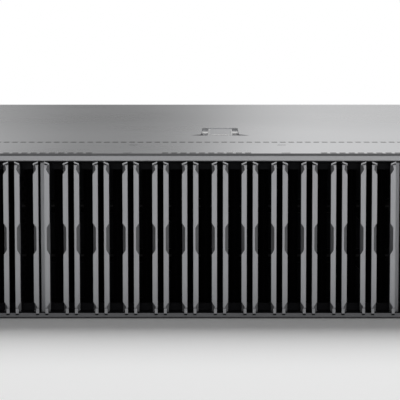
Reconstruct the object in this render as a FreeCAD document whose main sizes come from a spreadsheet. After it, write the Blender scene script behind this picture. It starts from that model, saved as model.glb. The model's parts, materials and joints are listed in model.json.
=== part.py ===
import FreeCAD, Part
import math
import os
import re
import Sketcher

# A rack-mounted server, two rack units high.  +Z is up, the front faces -Y and the origin is at
# the middle of the footprint.  Inside this file y = 0 is the front edge of the chassis; the
# expression FRONT shifts every piece from there to the common origin.

SIZES = {
    # chassis shell
    "chassis_width": 434.0,
    "chassis_length": 720.0,
    "chassis_height": 86.8,
    "sheet_gauge": 1.2,
    "cover_gauge": 1.0,
    "slip": 0.3,               # clearance between pieces that move past each other
    "seam": 0.6,               # visible gap between neighbouring covers
    "rack_width": 482.6,
    # covers
    "front_cover_depth": 108.0,
    "rear_strip_depth": 57.0,
    "flange_depth": 12.0,
    "front_lip": 4.0,
    "slot_pitch": 5.16,
    "slot_width": 3.44,
    "slot_depth": 3.0,
    "slots_in_group": 10,
    "slot_groups": 5,
    "group_pitch": 89.0,
    "group_offset": 7.5,
    "slot_inset": 5.0,
    "seam_slot_depth": 2.4,
    "seam_slot_margin": 4.0,
    # latch in the top cover
    "pan_front": 182.0,
    "pan_length": 97.0,
    "pan_mouth": 39.0,
    "pan_width": 25.0,
    "pan_depth": 9.0,
    "pan_flare": 14.0,
    "lever_width": 16.5,
    "lever_thickness": 2.5,
    "latch_pin_radius": 1.5,
    "latch_pin_fit": 0.08,
    "barrel_wall": 1.6,
    "grip_drop": 5.0,
    "tab_width": 5.0,
    "tab_depth": 2.5,
    "tab_inset": 78.0,
    "lever_clear": 0.4,
    "lever_front": 6.0,
    "hinge_inset": 6.0,
    # bezel
    "bezel_depth": 38.0,
    "bezel_base": 0.8,
    "bezel_height": 84.8,
    "bezel_top_gauge": 1.6,
    "bezel_rail_height": 2.1,
    "bezel_side_gauge": 2.5,
    "bezel_lip": 0.5,
    "bezel_lip_run": 4.0,
    "fin_pairs": 27,
    "fin_pair_pitch": 16.0,
    "fin_gap": 3.3,
    "fin_width": 2.7,
    "fin_neck": 1.1,
    "fin_depth": 10.0,
    "fin_end_radius": 3.0,
    "fin_rail_depth": 2.0,
    "fin_rail_height": 4.0,
    "notch_slope": 2.5,
    "notch_middle": 17.0,
    "notch_end": 6.0,
    "notch_run": 2.8,
    "fin_tip": 1.2,
    "slat_width": 5.0,
    "slat_depth": 4.0,
    "slat_setback": 3.0,
    "slat_rail_height": 3.0,
    "border_pairs": 6,
    "border_width": 2.4,
    "border_setback": 5.0,
    "cap_wall": 1.6,
    "cap_edge_radius": 3.0,
    "cap_relief": 0.8,
    "cap_relief_depth": 12.0,
    "lock_radius": 5.0,
    "lock_length": 14.0,
    "lock_height": 62.0,
    "lock_proud": 1.0,
    "key_slot_length": 6.0,
    "key_slot_width": 1.2,
    "key_slot_depth": 4.0,
    "release_width": 9.0,
    "release_height": 22.0,
    "release_length": 12.0,
    "release_proud": 2.5,
    "release_place": 30.0,
    "release_corner": 1.5,
    "release_flange": 1.2,
    # rack ears
    "ear_gauge": 2.0,
    "ear_leg": 60.0,
    "ear_margin": 2.0,
    "rack_hole_spacing": 465.1,
    "rack_hole_rise": 76.2,
    "rack_hole_width": 6.6,
    "rack_hole_length": 10.3,
    # control panel
    "panel_block_width": 19.0,
    "panel_block_height": 44.0,
    "panel_block_depth": 12.0,
    "power_button_radius": 5.0,
    "id_button_radius": 3.0,
    "button_proud": 1.6,
    "button_stem": 5.0,
    "button_travel": 1.0,
    "button_spacing": 22.0,
    # drives
    "cage_gauge": 1.0,
    "drive_columns": 4,
    "drive_rows": 3,
    "cage_front": 2.0,
    "cage_depth": 158.0,
    "carrier_depth": 152.0,
    "carrier_face": 9.0,
    "carrier_rail": 1.6,
    "carrier_border": 3.0,
    "lever_taper": 6.0,
    "disk_length": 140.0,
    "disk_height": 26.1,
    "lever_reach": 76.0,
    "lever_depth": 4.0,
    "backplane_gauge": 1.6,
    "backplane_gap": 4.0,
    "backplane_margin": 2.0,
    "plug_width": 44.0,
    "plug_height": 6.0,
    # fans
    "fan_size": 80.0,
    "fan_depth": 38.0,
    "fan_count": 4,
    "fan_bore": 38.0,
    "fan_tip_gap": 1.0,
    "fan_hub": 17.0,
    "fan_place": 288.0,
    "fan_gap": 1.5,
    "blade_count": 7,
    "blade_chord": 20.0,
    "blade_gauge": 1.6,
    "blade_angle": 40.0,
    "stator_depth": 5.0,
    "strut_width": 3.0,
    # board
    "board_gauge": 1.6,
    "board_rise": 6.0,
    "board_front": 334.0,
    "board_step": 516.0,
    "board_margin": 3.0,
    "standoff_radius": 3.0,
    "processor_spacing": 210.0,
    "processor_place": 430.0,
    "sink_width": 78.0,
    "sink_length": 108.0,
    "sink_base": 6.0,
    "sink_height": 60.0,
    "sink_fins": 14,
    "sink_fin_gauge": 1.0,
    "module_length": 133.35,
    "module_height": 36.0,
    "module_gauge": 3.5,
    "module_pitch": 9.0,
    "modules_in_bank": 6,
    "bank_gap": 8.0,
    "shroud_gauge": 1.5,
    "shroud_length": 150.0,
    "shroud_height": 72.0,
    # expansion
    "slot_cover_length": 118.0,
    "slot_cover_rise": 18.4,
    "slot_cover_pitch": 19.4,
    "slot_cover_gauge": 0.9,
    "slot_cover_lap": 2.0,
    "slot_rows": 3,
    "riser_place": 148.0,
    "riser_spacing": 138.0,
    "riser_length": 140.0,
    "riser_setback": 4.0,
    "card_slot_gauge": 8.0,
    "card_slot_reach": 11.0,
    "card_slot_length": 89.0,
    "port_depth": 21.0,
    "port_mouth": 12.0,
    "port_wall": 1.2,
    "network_place": -98.0,
    "network_width": 30.0,
    "network_height": 13.5,
    "usb_place": -34.0,
    "usb_width": 14.8,
    "usb_height": 15.6,
    "video_place": 0.0,
    "serial_place": 42.0,
    "video_width": 31.0,
    "video_height": 12.5,
    "video_shell": 17.0,
    "video_proud": 5.0,
    "vent_place": 60.0,
    "vent_width": 3.0,
    "vent_pitch": 6.0,
    "vent_count": 11,
    "vent_margin": 6.0,
    # power supplies
    "supply_width": 73.5,
    "supply_height": 40.0,
    "supply_length": 185.0,
    "supply_count": 2,
    "handle_reach": 26.0,
    "handle_gauge": 3.0,
    "handle_width": 10.0,
    "supply_margin": 2.0,
    "supply_cage_setback": 2.0,
    "socket_wall": 3.0,
    "handle_height": 34.0,
    "inlet_width": 24.4,
    "inlet_corner": 4.0,
    "inlet_pin_spacing": 7.0,
    "inlet_pin_lift": 2.0,
    "inlet_pin_gauge": 2.0,
    "inlet_height": 17.0,
    "inlet_depth": 17.0,
    "inlet_pin_length": 11.0,
    "supply_fan_radius": 11.5,
    "supply_fan_depth": 5.0,
    "tongue_width": 40.0,
    "tongue_gauge": 1.6,
    "tongue_length": 9.0,
    "release_travel": 3.0,
    "latch_stem": 16.0,
    "latch_reach": 12.0,
    "latch_rise": 14.0,
    "latch_gauge": 2.4,
    "latch_inset": 5.4,
    # rail studs and screws
    "stud_radius": 3.2,
    "stud_neck": 2.6,
    "stud_head_radius": 5.0,
    "stud_head": 2.0,
    "stud_front": 110.0,
    "stud_spacing": 265.0,
    "screw_radius": 2.6,
    "screw_head": 1.0,
    "screw_height": 80.0,
    "ear_screw_spread": 30.0,
    "ear_screw_low": 21.7,
    "ear_screw_high": 52.1,
}

FRONT = "((bezel_depth + release_proud - chassis_length - handle_reach) / 2)"
HALF = "(chassis_width / 2)"
TRAY = "(chassis_width / 2 - cover_gauge - slip)"
INNER = "(chassis_width / 2 - cover_gauge - slip - sheet_gauge)"
DECK = "(chassis_height - cover_gauge)"

VIEWS = {"top": ("XY_Plane", 1), "front": ("XZ_Plane", -1), "side": ("YZ_Plane", 1)}

doc = FreeCAD.newDocument("Server")
sheet = doc.addObject("Spreadsheet::Sheet", "Size")
pieces = []


def fill_sheet():
    """Write every driving dimension into the sheet under its own name."""
    for row, (name, value) in enumerate(SIZES.items(), start=1):
        sheet.set(f"A{row}", name)
        sheet.set(f"B{row}", str(value))
        sheet.setAlias(f"B{row}", name)
    doc.recompute()


def sized(expression):
    """Point each size named in an expression at its cell in the sheet."""
    def link(match):
        word = match.group(0)
        return f"Size.{word}" if word in SIZES else word
    return re.sub(r"[a-z_]+", link, str(expression))


def bind(item, **expressions):
    """Bind properties of an object, such as Length or Placement_Base_x, to expressions."""
    for name, expression in expressions.items():
        item.setExpression(name.replace("_", "."), sized(expression))


def place(item, across="0", along="0", up="0"):
    """Set a piece down at a position in the chassis frame."""
    bind(item, Placement_Base_x=across, Placement_Base_y=f"{FRONT} + {along}",
         Placement_Base_z=up)


# ---------------------------------------------------------------- sketching

def new_body(label, across="0", along="0", up="0"):
    body = doc.addObject("PartDesign::Body", label)
    body.AllowCompound = True
    place(body, across, along, up)
    pieces.append(body)
    return body


def new_sketch(body, view, at):
    """A sketch on the body's own origin plane, moved to `at` along that view's axis."""
    role, sign = VIEWS[view]
    plane = next(item for item in body.Origin.OriginFeatures if item.Role == role)
    sketch = body.newObject("Sketcher::SketchObject", "Outline")
    sketch.AttachmentSupport = [(plane, "")]
    sketch.MapMode = "FlatFace"
    sketch.setExpression("AttachmentOffset.Base.z", sized(f"{sign} * ({at})"))
    return sketch


def pin_point(sketch, geometry, spot, x, y):
    """Hold one point of a sketch at the expressions x and y."""
    drawn = sketch.getPoint(geometry, spot)
    for kind, axis, expression, value in (("DistanceX", -2, x, drawn.x),
                                          ("DistanceY", -1, y, drawn.y)):
        if str(expression) == "0":
            sketch.addConstraint(Sketcher.Constraint("PointOnObject", geometry, spot, axis))
            continue
        index = sketch.addConstraint(Sketcher.Constraint(kind, -1, 1, geometry, spot, value))
        sketch.setExpression(f"Constraints[{index}]", sized(expression))


def draw_polygon(sketch, points):
    """A closed outline through points given as pairs of expressions."""
    count = len(points)
    first = sketch.GeometryCount
    turn = 2 * math.pi / count
    spots = [FreeCAD.Vector(math.cos(i * turn), math.sin(i * turn), 0) for i in range(count)]
    for i in range(count):
        sketch.addGeometry(Part.LineSegment(spots[i], spots[(i + 1) % count]), False)
    for i in range(count):
        follower = first + (i + 1) % count
        sketch.addConstraint(Sketcher.Constraint("Coincident", first + i, 2, follower, 1))
    for i, (x, y) in enumerate(points):
        pin_point(sketch, first + i, 1, x, y)


def draw_box(sketch, x0, y0, x1, y1):
    draw_polygon(sketch, [(x0, y0), (x1, y0), (x1, y1), (x0, y1)])


def draw_circle(sketch, x, y, radius):
    circle = Part.Circle(FreeCAD.Vector(0, 0, 0), FreeCAD.Vector(0, 0, 1), 1.0)
    index = sketch.addGeometry(circle, False)
    pin_point(sketch, index, 3, x, y)
    size = sketch.addConstraint(Sketcher.Constraint("Radius", index, 1.0))
    sketch.setExpression(f"Constraints[{size}]", sized(radius))


def ring(x, y, radius, sides):
    """The corners of a regular polygon round (x, y) whose flats stand off by the radius."""
    reach = f"({radius}) / cos(180 / {sides})"
    turns = [f"(({corner} + 0.5) * 360 / {sides})" for corner in range(sides)]
    return [(f"{x} + {reach} * cos({turn})", f"{y} + {reach} * sin({turn})") for turn in turns]


def join_points(sketch, links):
    """Make pairs of end points coincide: each link is (geometry, spot, geometry, spot)."""
    for link in links:
        sketch.addConstraint(Sketcher.Constraint("Coincident", *link))


def draw_obround(sketch, x, y, length, radius):
    """A level slot with round ends, centred at (x, y)."""
    first = sketch.GeometryCount
    upward = FreeCAD.Vector(0, 0, 1)
    right, left = FreeCAD.Vector(6, 5, 0), FreeCAD.Vector(4, 5, 0)
    lift = FreeCAD.Vector(0, 1, 0)
    quarter = math.pi / 2
    sketch.addGeometry(
        Part.ArcOfCircle(Part.Circle(left, upward, 1.0), quarter, 3 * quarter), False)
    sketch.addGeometry(Part.LineSegment(left - lift, right - lift), False)
    sketch.addGeometry(
        Part.ArcOfCircle(Part.Circle(right, upward, 1.0), -quarter, quarter), False)
    sketch.addGeometry(Part.LineSegment(right + lift, left + lift), False)
    for i in range(4):
        follower = first + (i + 1) % 4
        sketch.addConstraint(Sketcher.Constraint("Tangent", first + i, 2, follower, 1))
    sketch.addConstraint(Sketcher.Constraint("Equal", first, first + 2))
    pin_point(sketch, first, 3, f"{x} - ({length} / 2 - {radius})", y)
    pin_point(sketch, first + 2, 3, f"{x} + ({length} / 2 - {radius})", y)
    index = sketch.addConstraint(Sketcher.Constraint("Radius", first, 1.0))
    sketch.setExpression(f"Constraints[{index}]", sized(radius))


def draw(sketch, outlines):
    """Draw outlines: (x, y, radius) is a circle, (x0, y0, x1, y1) a box, a list a polygon
    and a function draws itself."""
    for outline in outlines:
        if callable(outline):
            outline(sketch)
        elif isinstance(outline, list):
            draw_polygon(sketch, outline)
        elif len(outline) == 3:
            draw_circle(sketch, *outline)
        else:
            draw_box(sketch, *outline)


# ---------------------------------------------------------------- solid features

def grow(body, view, at, depth, *outlines):
    """Add material from `at`, `depth` deep along the positive axis of the view."""
    sketch = new_sketch(body, view, at)
    draw(sketch, outlines)
    pad = body.newObject("PartDesign::Pad", "Pad")
    pad.Profile = sketch
    pad.Reversed = VIEWS[view][1] < 0
    pad.setExpression("Length", sized(depth))
    doc.recompute()
    return pad


def carve(body, view, at, depth, *outlines):
    """Remove material from `at`, `depth` deep along the positive axis of the view."""
    before = body.Shape.Volume
    sketch = new_sketch(body, view, at)
    draw(sketch, outlines)
    pocket = body.newObject("PartDesign::Pocket", "Pocket")
    pocket.Profile = sketch
    pocket.Reversed = VIEWS[view][1] > 0
    pocket.setExpression("Length", sized(depth))
    doc.recompute()
    if not body.Shape.Volume < before:
        raise RuntimeError(f"{body.Label}: a pocket removes nothing")
    return pocket


def repeat(body, feature, axis, count, pitch):
    """Repeat a feature along an axis of its body, `count` times at `pitch`."""
    role = {"x": "X_Axis", "y": "Y_Axis", "z": "Z_Axis"}[axis]
    line = next(item for item in body.Origin.OriginFeatures if item.Role == role)
    pattern = body.newObject("PartDesign::LinearPattern", "Pattern")
    pattern.Originals = [feature]
    pattern.Direction = (line, [""])
    pattern.setExpression("Length", sized(f"(({count}) - 1) * ({pitch})"))
    pattern.setExpression("Occurrences", sized(count))
    body.Tip = pattern
    doc.recompute()
    return pattern


def spin(body, feature, axis, count):
    """Repeat a feature round an axis of its body."""
    role = {"x": "X_Axis", "y": "Y_Axis", "z": "Z_Axis"}[axis]
    line = next(item for item in body.Origin.OriginFeatures if item.Role == role)
    pattern = body.newObject("PartDesign::PolarPattern", "Pattern")
    pattern.Originals = [feature]
    pattern.Axis = (line, [""])
    pattern.Angle = 360
    pattern.setExpression("Occurrences", sized(count))
    body.Tip = pattern
    doc.recompute()
    return pattern


def round_edges(body, radius, wanted):
    """Round the edges of a body that `wanted` accepts."""
    base = body.Tip
    names = [f"Edge{i}" for i, edge in enumerate(base.Shape.Edges, start=1) if wanted(edge)]
    fillet = body.newObject("PartDesign::Fillet", "Fillet")
    fillet.Base = (base, names)
    fillet.setExpression("Radius", sized(radius))
    body.Tip = fillet
    doc.recompute()
    return fillet


def runs_along(edge, direction):
    """Whether an edge is straight and lies along a direction such as (0, 0, 1)."""
    ends = edge.Vertexes
    if len(ends) < 2 or not isinstance(edge.Curve, Part.Line):
        return False
    run = ends[1].Point - ends[0].Point
    return run.cross(FreeCAD.Vector(*direction)).Length < 1e-6


# ---------------------------------------------------------------- covers

def cover_section():
    """A cover seen from the front: a flat top with a flange turned down at each side."""
    foot = "(chassis_height - flange_depth)"
    return [(f"-{HALF}", foot), (f"-{HALF}", "chassis_height"), (HALF, "chassis_height"),
            (HALF, foot), (f"{HALF} - cover_gauge", foot), (f"{HALF} - cover_gauge", DECK),
            (f"-{HALF} + cover_gauge", DECK), (f"-{HALF} + cover_gauge", foot)]


def vent_slot(x_start, y_middle):
    """A vent slot seen from above, from its left end."""
    return (x_start, f"{y_middle} - slot_depth / 2", f"{x_start} + slot_width",
            f"{y_middle} + slot_depth / 2")


def front_top_cover():
    body = new_body("front_top_cover")
    grow(body, "front", "0", "front_cover_depth", cover_section())
    grow(body, "front", "0", "cover_gauge",
         (f"-{INNER}", f"{DECK} - front_lip", INNER, DECK))
    run = "((slots_in_group - 1) * slot_pitch + slot_width)"
    groups = int(SIZES["slot_groups"])
    for group in range(groups):
        middle = f"({group} - (slot_groups - 1) / 2) * group_pitch - group_offset"
        vent = carve(body, "top", DECK, "cover_gauge",
                     vent_slot(f"({middle} - {run} / 2)", "slot_inset"))
        repeat(body, vent, "x", "slots_in_group", "slot_pitch")
    count = f"floor(({HALF} - cover_gauge - seam_slot_margin) * 2 / slot_pitch)"
    start = f"(-(({count} - 1) * slot_pitch + slot_width) / 2)"
    vent = carve(body, "top", DECK, "cover_gauge",
                 (start, "front_cover_depth - seam_slot_depth", f"{start} + slot_width",
                  "front_cover_depth"))
    repeat(body, vent, "x", count, "slot_pitch")
    for side in (-1, 1):
        middle = f"({side} * group_pitch / 2 - group_offset)"
        for line in ("slot_inset", "tab_inset"):
            carve(body, "top", DECK, "cover_gauge",
                  (f"{middle} - tab_width / 2", f"{line} - tab_depth / 2",
                   f"{middle} + tab_width / 2", f"{line} + tab_depth / 2"))


def pan_outline(margin):
    """The latch pan seen from above, a funnel that is wide at the front."""
    mouth = f"(pan_mouth / 2 + {margin})"
    half = f"(pan_width / 2 + {margin})"
    front = f"(pan_front - {margin})"
    flare = "(pan_front + pan_flare)"
    rear = f"(pan_front + pan_length + {margin})"
    return [(f"-{mouth}", front), (mouth, front), (half, flare), (half, rear),
            (f"-{half}", rear), (f"-{half}", flare)]


BARREL = "(latch_pin_radius + latch_pin_fit + barrel_wall)"
HINGE_Y = "(pan_front + pan_length - hinge_inset)"
HINGE_Z = f"(chassis_height - lever_clear - {BARREL})"


def top_cover():
    body = new_body("top_cover")
    grow(body, "front", "(front_cover_depth + seam)",
         "chassis_length - rear_strip_depth - front_cover_depth - 2 * seam", cover_section())
    floor = f"({DECK} - pan_depth)"
    grow(body, "top", floor, "pan_depth", pan_outline("cover_gauge"))
    carve(body, "top", f"{floor} + cover_gauge", "pan_depth", pan_outline("0"))
    carve(body, "side", "-(pan_width / 2 + cover_gauge)", "pan_width + 2 * cover_gauge",
          (HINGE_Y, HINGE_Z, "latch_pin_radius"))


def latch_pin():
    body = new_body("latch_pin")
    grow(body, "side", "-(pan_width / 2 + cover_gauge)", "pan_width + 2 * cover_gauge",
         (HINGE_Y, HINGE_Z, "latch_pin_radius"))


def cover_latch():
    """The lever: a barrel on the pin, a flat tongue and a grip turned down at its front."""
    body = new_body("cover_latch")
    top = "(chassis_height - lever_clear)"
    under = f"({top} - lever_thickness)"
    front = "(pan_front + lever_front)"
    left, wide = "-lever_width / 2", "lever_width"
    grow(body, "side", left, wide,
         [(front, f"{top} - grip_drop"), (f"{front} + lever_thickness", f"{top} - grip_drop"),
          (f"{front} + 2 * lever_thickness", under), (HINGE_Y, under), (HINGE_Y, top),
          (f"{front} + lever_thickness", top), (front, under)])
    grow(body, "side", left, wide, (HINGE_Y, HINGE_Z, BARREL))
    carve(body, "side", left, wide, (HINGE_Y, HINGE_Z, "latch_pin_radius + latch_pin_fit"))


def rear_top_strip():
    body = new_body("rear_top_strip")
    grow(body, "front", "(chassis_length - rear_strip_depth)", "rear_strip_depth",
         cover_section())


# ---------------------------------------------------------------- bezel

PAIR_HALF = "(fin_gap / 2 + fin_width)"
FRAME_FLOOR = "(bezel_base + bezel_rail_height)"
FRAME_ROOF = "(bezel_base + bezel_height - bezel_top_gauge)"
FRAME_SIDE = f"({HALF} - bezel_side_gauge)"
BEZEL_BACK = "(ear_gauge + slip)"


def bezel_frame():
    body = new_body("bezel_frame")
    outer = (f"-{HALF}", "bezel_base", HALF, "bezel_base + bezel_height")
    grow(body, "front", "-bezel_depth", f"bezel_depth - {BEZEL_BACK}", outer,
         (f"-{FRAME_SIDE}", FRAME_FLOOR, FRAME_SIDE, FRAME_ROOF))
    lip = "(bezel_base + bezel_height - bezel_lip)"
    carve(body, "side", f"-{FRAME_SIDE}", f"2 * {FRAME_SIDE}",
          [("-bezel_depth", FRAME_ROOF), ("-bezel_depth + bezel_lip_run", FRAME_ROOF),
           ("-bezel_depth", lip)])


def fin_edges(side):
    """Where a fin's inner side, its neck and its outer side stand."""
    return (f"{side} * fin_gap / 2", f"{side} * (fin_gap / 2 + fin_neck)",
            f"{side} * {PAIR_HALF}")


def fin_outline(side):
    """One fin's face: straight towards its partner, notched on the far side."""
    inner, neck, outer = fin_edges(side)
    middle = "(bezel_base + bezel_height / 2)"
    return [(inner, FRAME_FLOOR), (outer, FRAME_FLOOR), (outer, f"{FRAME_FLOOR} + fin_tip"),
            (neck, f"{FRAME_FLOOR} + fin_tip"),
            (neck, f"{FRAME_FLOOR} + notch_end - notch_slope"),
            (outer, f"{FRAME_FLOOR} + notch_end"), (outer, f"{middle} - notch_middle / 2"),
            (neck, f"{middle} - notch_middle / 2 + notch_slope"),
            (neck, f"{middle} + notch_middle / 2 - notch_slope"),
            (outer, f"{middle} + notch_middle / 2"), (outer, f"{FRAME_ROOF} - notch_end"),
            (neck, f"{FRAME_ROOF} - notch_end + notch_slope"),
            (neck, f"{FRAME_ROOF} - fin_tip"), (outer, f"{FRAME_ROOF} - fin_tip"),
            (outer, FRAME_ROOF), (inner, FRAME_ROOF)]


def notch_floor(side):
    """Seen from above: the slanted backing that closes a fin's notches."""
    inner, neck, outer = fin_edges(side)
    return [(inner, "-bezel_depth + notch_run"), (neck, "-bezel_depth"),
            (outer, "-bezel_depth + notch_run"), (outer, "-bezel_depth + fin_depth"),
            (inner, "-bezel_depth + fin_depth")]


def shifted(points, distance):
    return [(f"{x} + {distance}", y) for x, y in points]


FLAT_KNEE = 1 - math.sqrt(0.5)      # where two flats that follow a quarter round meet


def bezel_fins():
    """The moulded fin panel: two rails, the fins in pairs, and the centre section's borders."""
    body = new_body("bezel_fins")
    back = "(fin_depth - bezel_depth)"
    grow(body, "front", back, "fin_rail_depth",
         (f"-{FRAME_SIDE}", FRAME_FLOOR, FRAME_SIDE, f"{FRAME_FLOOR} + fin_rail_height"),
         (f"-{FRAME_SIDE}", f"{FRAME_ROOF} - fin_rail_height", FRAME_SIDE, FRAME_ROOF))
    first = "(-(fin_pairs - 1) / 2 * fin_pair_pitch)"
    pair = grow(body, "front", "-bezel_depth", "fin_depth",
                shifted(fin_outline(-1), first), shifted(fin_outline(1), first))
    repeat(body, pair, "x", "fin_pairs", "fin_pair_pitch")
    backing = grow(body, "top", FRAME_FLOOR, f"{FRAME_ROOF} - {FRAME_FLOOR}",
                   shifted(notch_floor(-1), first), shifted(notch_floor(1), first))
    repeat(body, backing, "x", "fin_pairs", "fin_pair_pitch")
    for side in (-1, 1):
        face = f"{side} * (border_pairs * fin_pair_pitch - fin_gap / 2)"
        grow(body, "front", "-bezel_depth + border_setback",
             "fin_depth + fin_rail_depth - border_setback",
             (face, FRAME_FLOOR, f"{face} + {side} * border_width", FRAME_ROOF))
    front, reach, knee = "-bezel_depth", "fin_end_radius", f"fin_end_radius * {FLAT_KNEE}"
    for height, step in ((FRAME_FLOOR, 1), (FRAME_ROOF, -1)):
        carve(body, "side", f"-{FRAME_SIDE}", f"2 * {FRAME_SIDE}",
              [(front, height), (f"{front} + {reach}", height),
               (f"{front} + {knee}", f"{height} + {step} * {knee}"),
               (front, f"{height} + {step} * {reach}")])


def bezel_grille():
    """The dark inner grille: upright wedge ribs between two rails."""
    body = new_body("bezel_grille")
    front = "(fin_depth + fin_rail_depth - bezel_depth)"
    depth = "(slat_setback + slat_depth)"
    low, high = f"({FRAME_FLOOR} + slat_rail_height)", f"({FRAME_ROOF} - slat_rail_height)"
    grow(body, "front", front, depth, (f"-{FRAME_SIDE}", FRAME_FLOOR, FRAME_SIDE, low),
         (f"-{FRAME_SIDE}", high, FRAME_SIDE, FRAME_ROOF))
    middle = "(-(fin_pairs - 1) / 2 * fin_pair_pitch)"
    nose, foot = f"({front} + slat_setback)", f"({front} + {depth})"
    slat = grow(body, "top", low, f"{high} - {low}",
                [(middle, nose), (f"{middle} + slat_width / 2", foot),
                 (f"{middle} - slat_width / 2", foot)])
    repeat(body, slat, "x", "2 * fin_pairs - 1", "fin_pair_pitch / 2")


CAP_X = "((chassis_width + rack_width) / 4)"
BOSS_SIDES = 16


def bezel_end(name, side):
    """A hollow end cap that closes over the rack ear, open at the back."""
    body = new_body(name)
    base, roof = "bezel_base", "(bezel_base + bezel_height)"
    near, far = f"{side} * {HALF}", f"{side} * rack_width / 2"
    grow(body, "front", "-bezel_depth", f"bezel_depth - {BEZEL_BACK}", (near, base, far, roof))
    outside = side * SIZES["rack_width"] / 2
    round_edges(body, "cap_edge_radius", lambda edge: runs_along(edge, (0, 0, 1))
                and abs(edge.CenterOfMass.x - outside) < 1e-6
                and edge.CenterOfMass.y < -SIZES["bezel_depth"] + 1e-6)
    inner, outer = f"{near} + {side} * cap_wall", f"{far} - {side} * cap_wall"
    carve(body, "front", "-bezel_depth + cap_wall", "bezel_depth",
          (inner, f"{base} + cap_wall", outer, f"{roof} - cap_wall"))
    carve(body, "front", f"-{BEZEL_BACK} - cap_relief_depth", "bezel_depth",
          (inner, f"{base} + cap_relief", outer, f"{roof} - cap_relief"))
    return body


def bezel_end_left():
    """The left cap also carries the key lock's boss and the release button's opening."""
    body = bezel_end("bezel_end_left", -1)
    middle = f"-{CAP_X}"
    bore = "(lock_radius + slip)"
    grow(body, "front", "-bezel_depth", "lock_length - cap_wall",
         ring(middle, "lock_height", f"{bore} + cap_wall", BOSS_SIDES))
    carve(body, "front", "-bezel_depth", "bezel_depth",
          ring(middle, "lock_height", bore, BOSS_SIDES))
    half = "(release_width / 2 + slip)"
    carve(body, "front", "-bezel_depth", "bezel_depth",
          (f"{middle} - {half}", "release_place - release_height / 2 - slip",
           f"{middle} + {half}", "release_place + release_height / 2 + slip"))


def bezel_lock():
    """The key cylinder with its key slot."""
    body = new_body("bezel_lock", f"-{CAP_X}", "-bezel_depth - lock_proud", "lock_height")
    grow(body, "front", "0", "lock_length", (0, 0, "lock_radius"))
    carve(body, "front", "0", "key_slot_depth",
          ("-key_slot_width / 2", "-key_slot_length / 2", "key_slot_width / 2",
           "key_slot_length / 2"))


def bezel_release():
    """The release button: a cap in its opening, held by a flange behind the wall."""
    body = new_body("bezel_release", f"-{CAP_X}", "-bezel_depth", "release_place")
    wide, tall = "(release_width / 2)", "(release_height / 2)"
    cut = "release_corner"
    grow(body, "front", "-release_proud", "release_proud + release_length",
         [(f"-{wide} + {cut}", f"-{tall}"), (f"{wide} - {cut}", f"-{tall}"),
          (wide, f"-{tall} + {cut}"), (wide, f"{tall} - {cut}"), (f"{wide} - {cut}", tall),
          (f"-{wide} + {cut}", tall), (f"-{wide}", f"{tall} - {cut}"),
          (f"-{wide}", f"-{tall} + {cut}")])
    grow(body, "front", "cap_wall", "release_flange",
         (f"-{wide} - release_flange", f"-{tall} - release_flange",
          f"{wide} + release_flange", f"{tall} + release_flange"))


# ---------------------------------------------------------------- chassis shell

def chassis_tray():
    body = new_body("chassis_tray")
    grow(body, "front", "0", "chassis_length",
         [(f"-{TRAY}", "0"), (TRAY, "0"), (TRAY, DECK), (INNER, DECK), (INNER, "sheet_gauge"),
          (f"-{INNER}", "sheet_gauge"), (f"-{INNER}", DECK), (f"-{TRAY}", DECK)])


BAY_FLOOR = "(sheet_gauge + slip)"
BAY_RISE = "(supply_height + 2 * slip + sheet_gauge)"
SUPPLY_X = f"({INNER} - sheet_gauge - slip - supply_width / 2)"
BAY_LEFT = f"({SUPPLY_X} - supply_width / 2 - slip)"
BAY_RIGHT = f"({SUPPLY_X} + supply_width / 2 + slip)"
REAR_WALL = "(chassis_length - sheet_gauge)"
BOARD_TOP = "(sheet_gauge + board_rise + board_gauge)"
SLOT_FLOOR = f"({DECK} - sheet_gauge - slot_rows * slot_cover_pitch)"


def slot_window(index):
    """The left edge, floor, right edge and roof of one riser's window in the rear panel."""
    middle = f"({index} * riser_spacing - riser_place)"
    half = "(slot_cover_length / 2 - slot_cover_lap)"
    return (f"{middle} - {half}", f"{SLOT_FLOOR} + slot_cover_lap", f"{middle} + {half}",
            f"{SLOT_FLOOR} + slot_rows * slot_cover_pitch - slot_cover_lap")


PORTS = {"network": ("network_place", "network_width", "network_height"),
         "usb": ("usb_place", "usb_width", "usb_height"),
         "video": ("video_place", "video_width", "video_height"),
         "serial": ("serial_place", "video_width", "video_height")}


def port_box(port, margin):
    place_x, wide, tall = PORTS[port]
    return (f"{place_x} - {wide} / 2 - {margin}", f"{BOARD_TOP} - {margin}",
            f"{place_x} + {wide} / 2 + {margin}", f"{BOARD_TOP} + {tall} + {margin}")


def rear_panel():
    body = new_body("rear_panel")
    grow(body, "front", REAR_WALL, "sheet_gauge", (f"-{INNER}", "sheet_gauge", INNER, DECK))
    bay_roof = f"({BAY_FLOOR} + supply_count * {BAY_RISE} - sheet_gauge)"
    openings = [slot_window(0), slot_window(1), (BAY_LEFT, "sheet_gauge", BAY_RIGHT, bay_roof)]
    openings += [port_box(port, "slip") for port in PORTS]
    for opening in openings:
        carve(body, "front", REAR_WALL, "sheet_gauge", opening)
    vent = carve(body, "front", REAR_WALL, "sheet_gauge",
                 ("vent_place", SLOT_FLOOR, "vent_place + vent_width", f"{DECK} - vent_margin"))
    repeat(body, vent, "x", "vent_count", "vent_pitch")


def ear(name, side):
    """A rack ear: a flange with slotted holes and a leg along the side of the chassis."""
    body = new_body(name)
    near = f"{side} * {TRAY}"
    grow(body, "front", "-ear_gauge", "ear_gauge",
         (near, "0", f"{side} * rack_width / 2", "chassis_height"))
    grow(body, "front", "0", "ear_leg",
         (near, "ear_margin", f"{near} + {side} * ear_gauge",
          "chassis_height - flange_depth - ear_margin"))
    for step in (-1, 1):
        height = f"(chassis_height / 2 + {step} * rack_hole_rise / 2)"
        carve(body, "front", "-ear_gauge", "ear_gauge",
              lambda sketch, z=height: draw_obround(
                  sketch, f"{side} * rack_hole_spacing / 2", z, "rack_hole_length",
                  "(rack_hole_width / 2)"))


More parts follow.
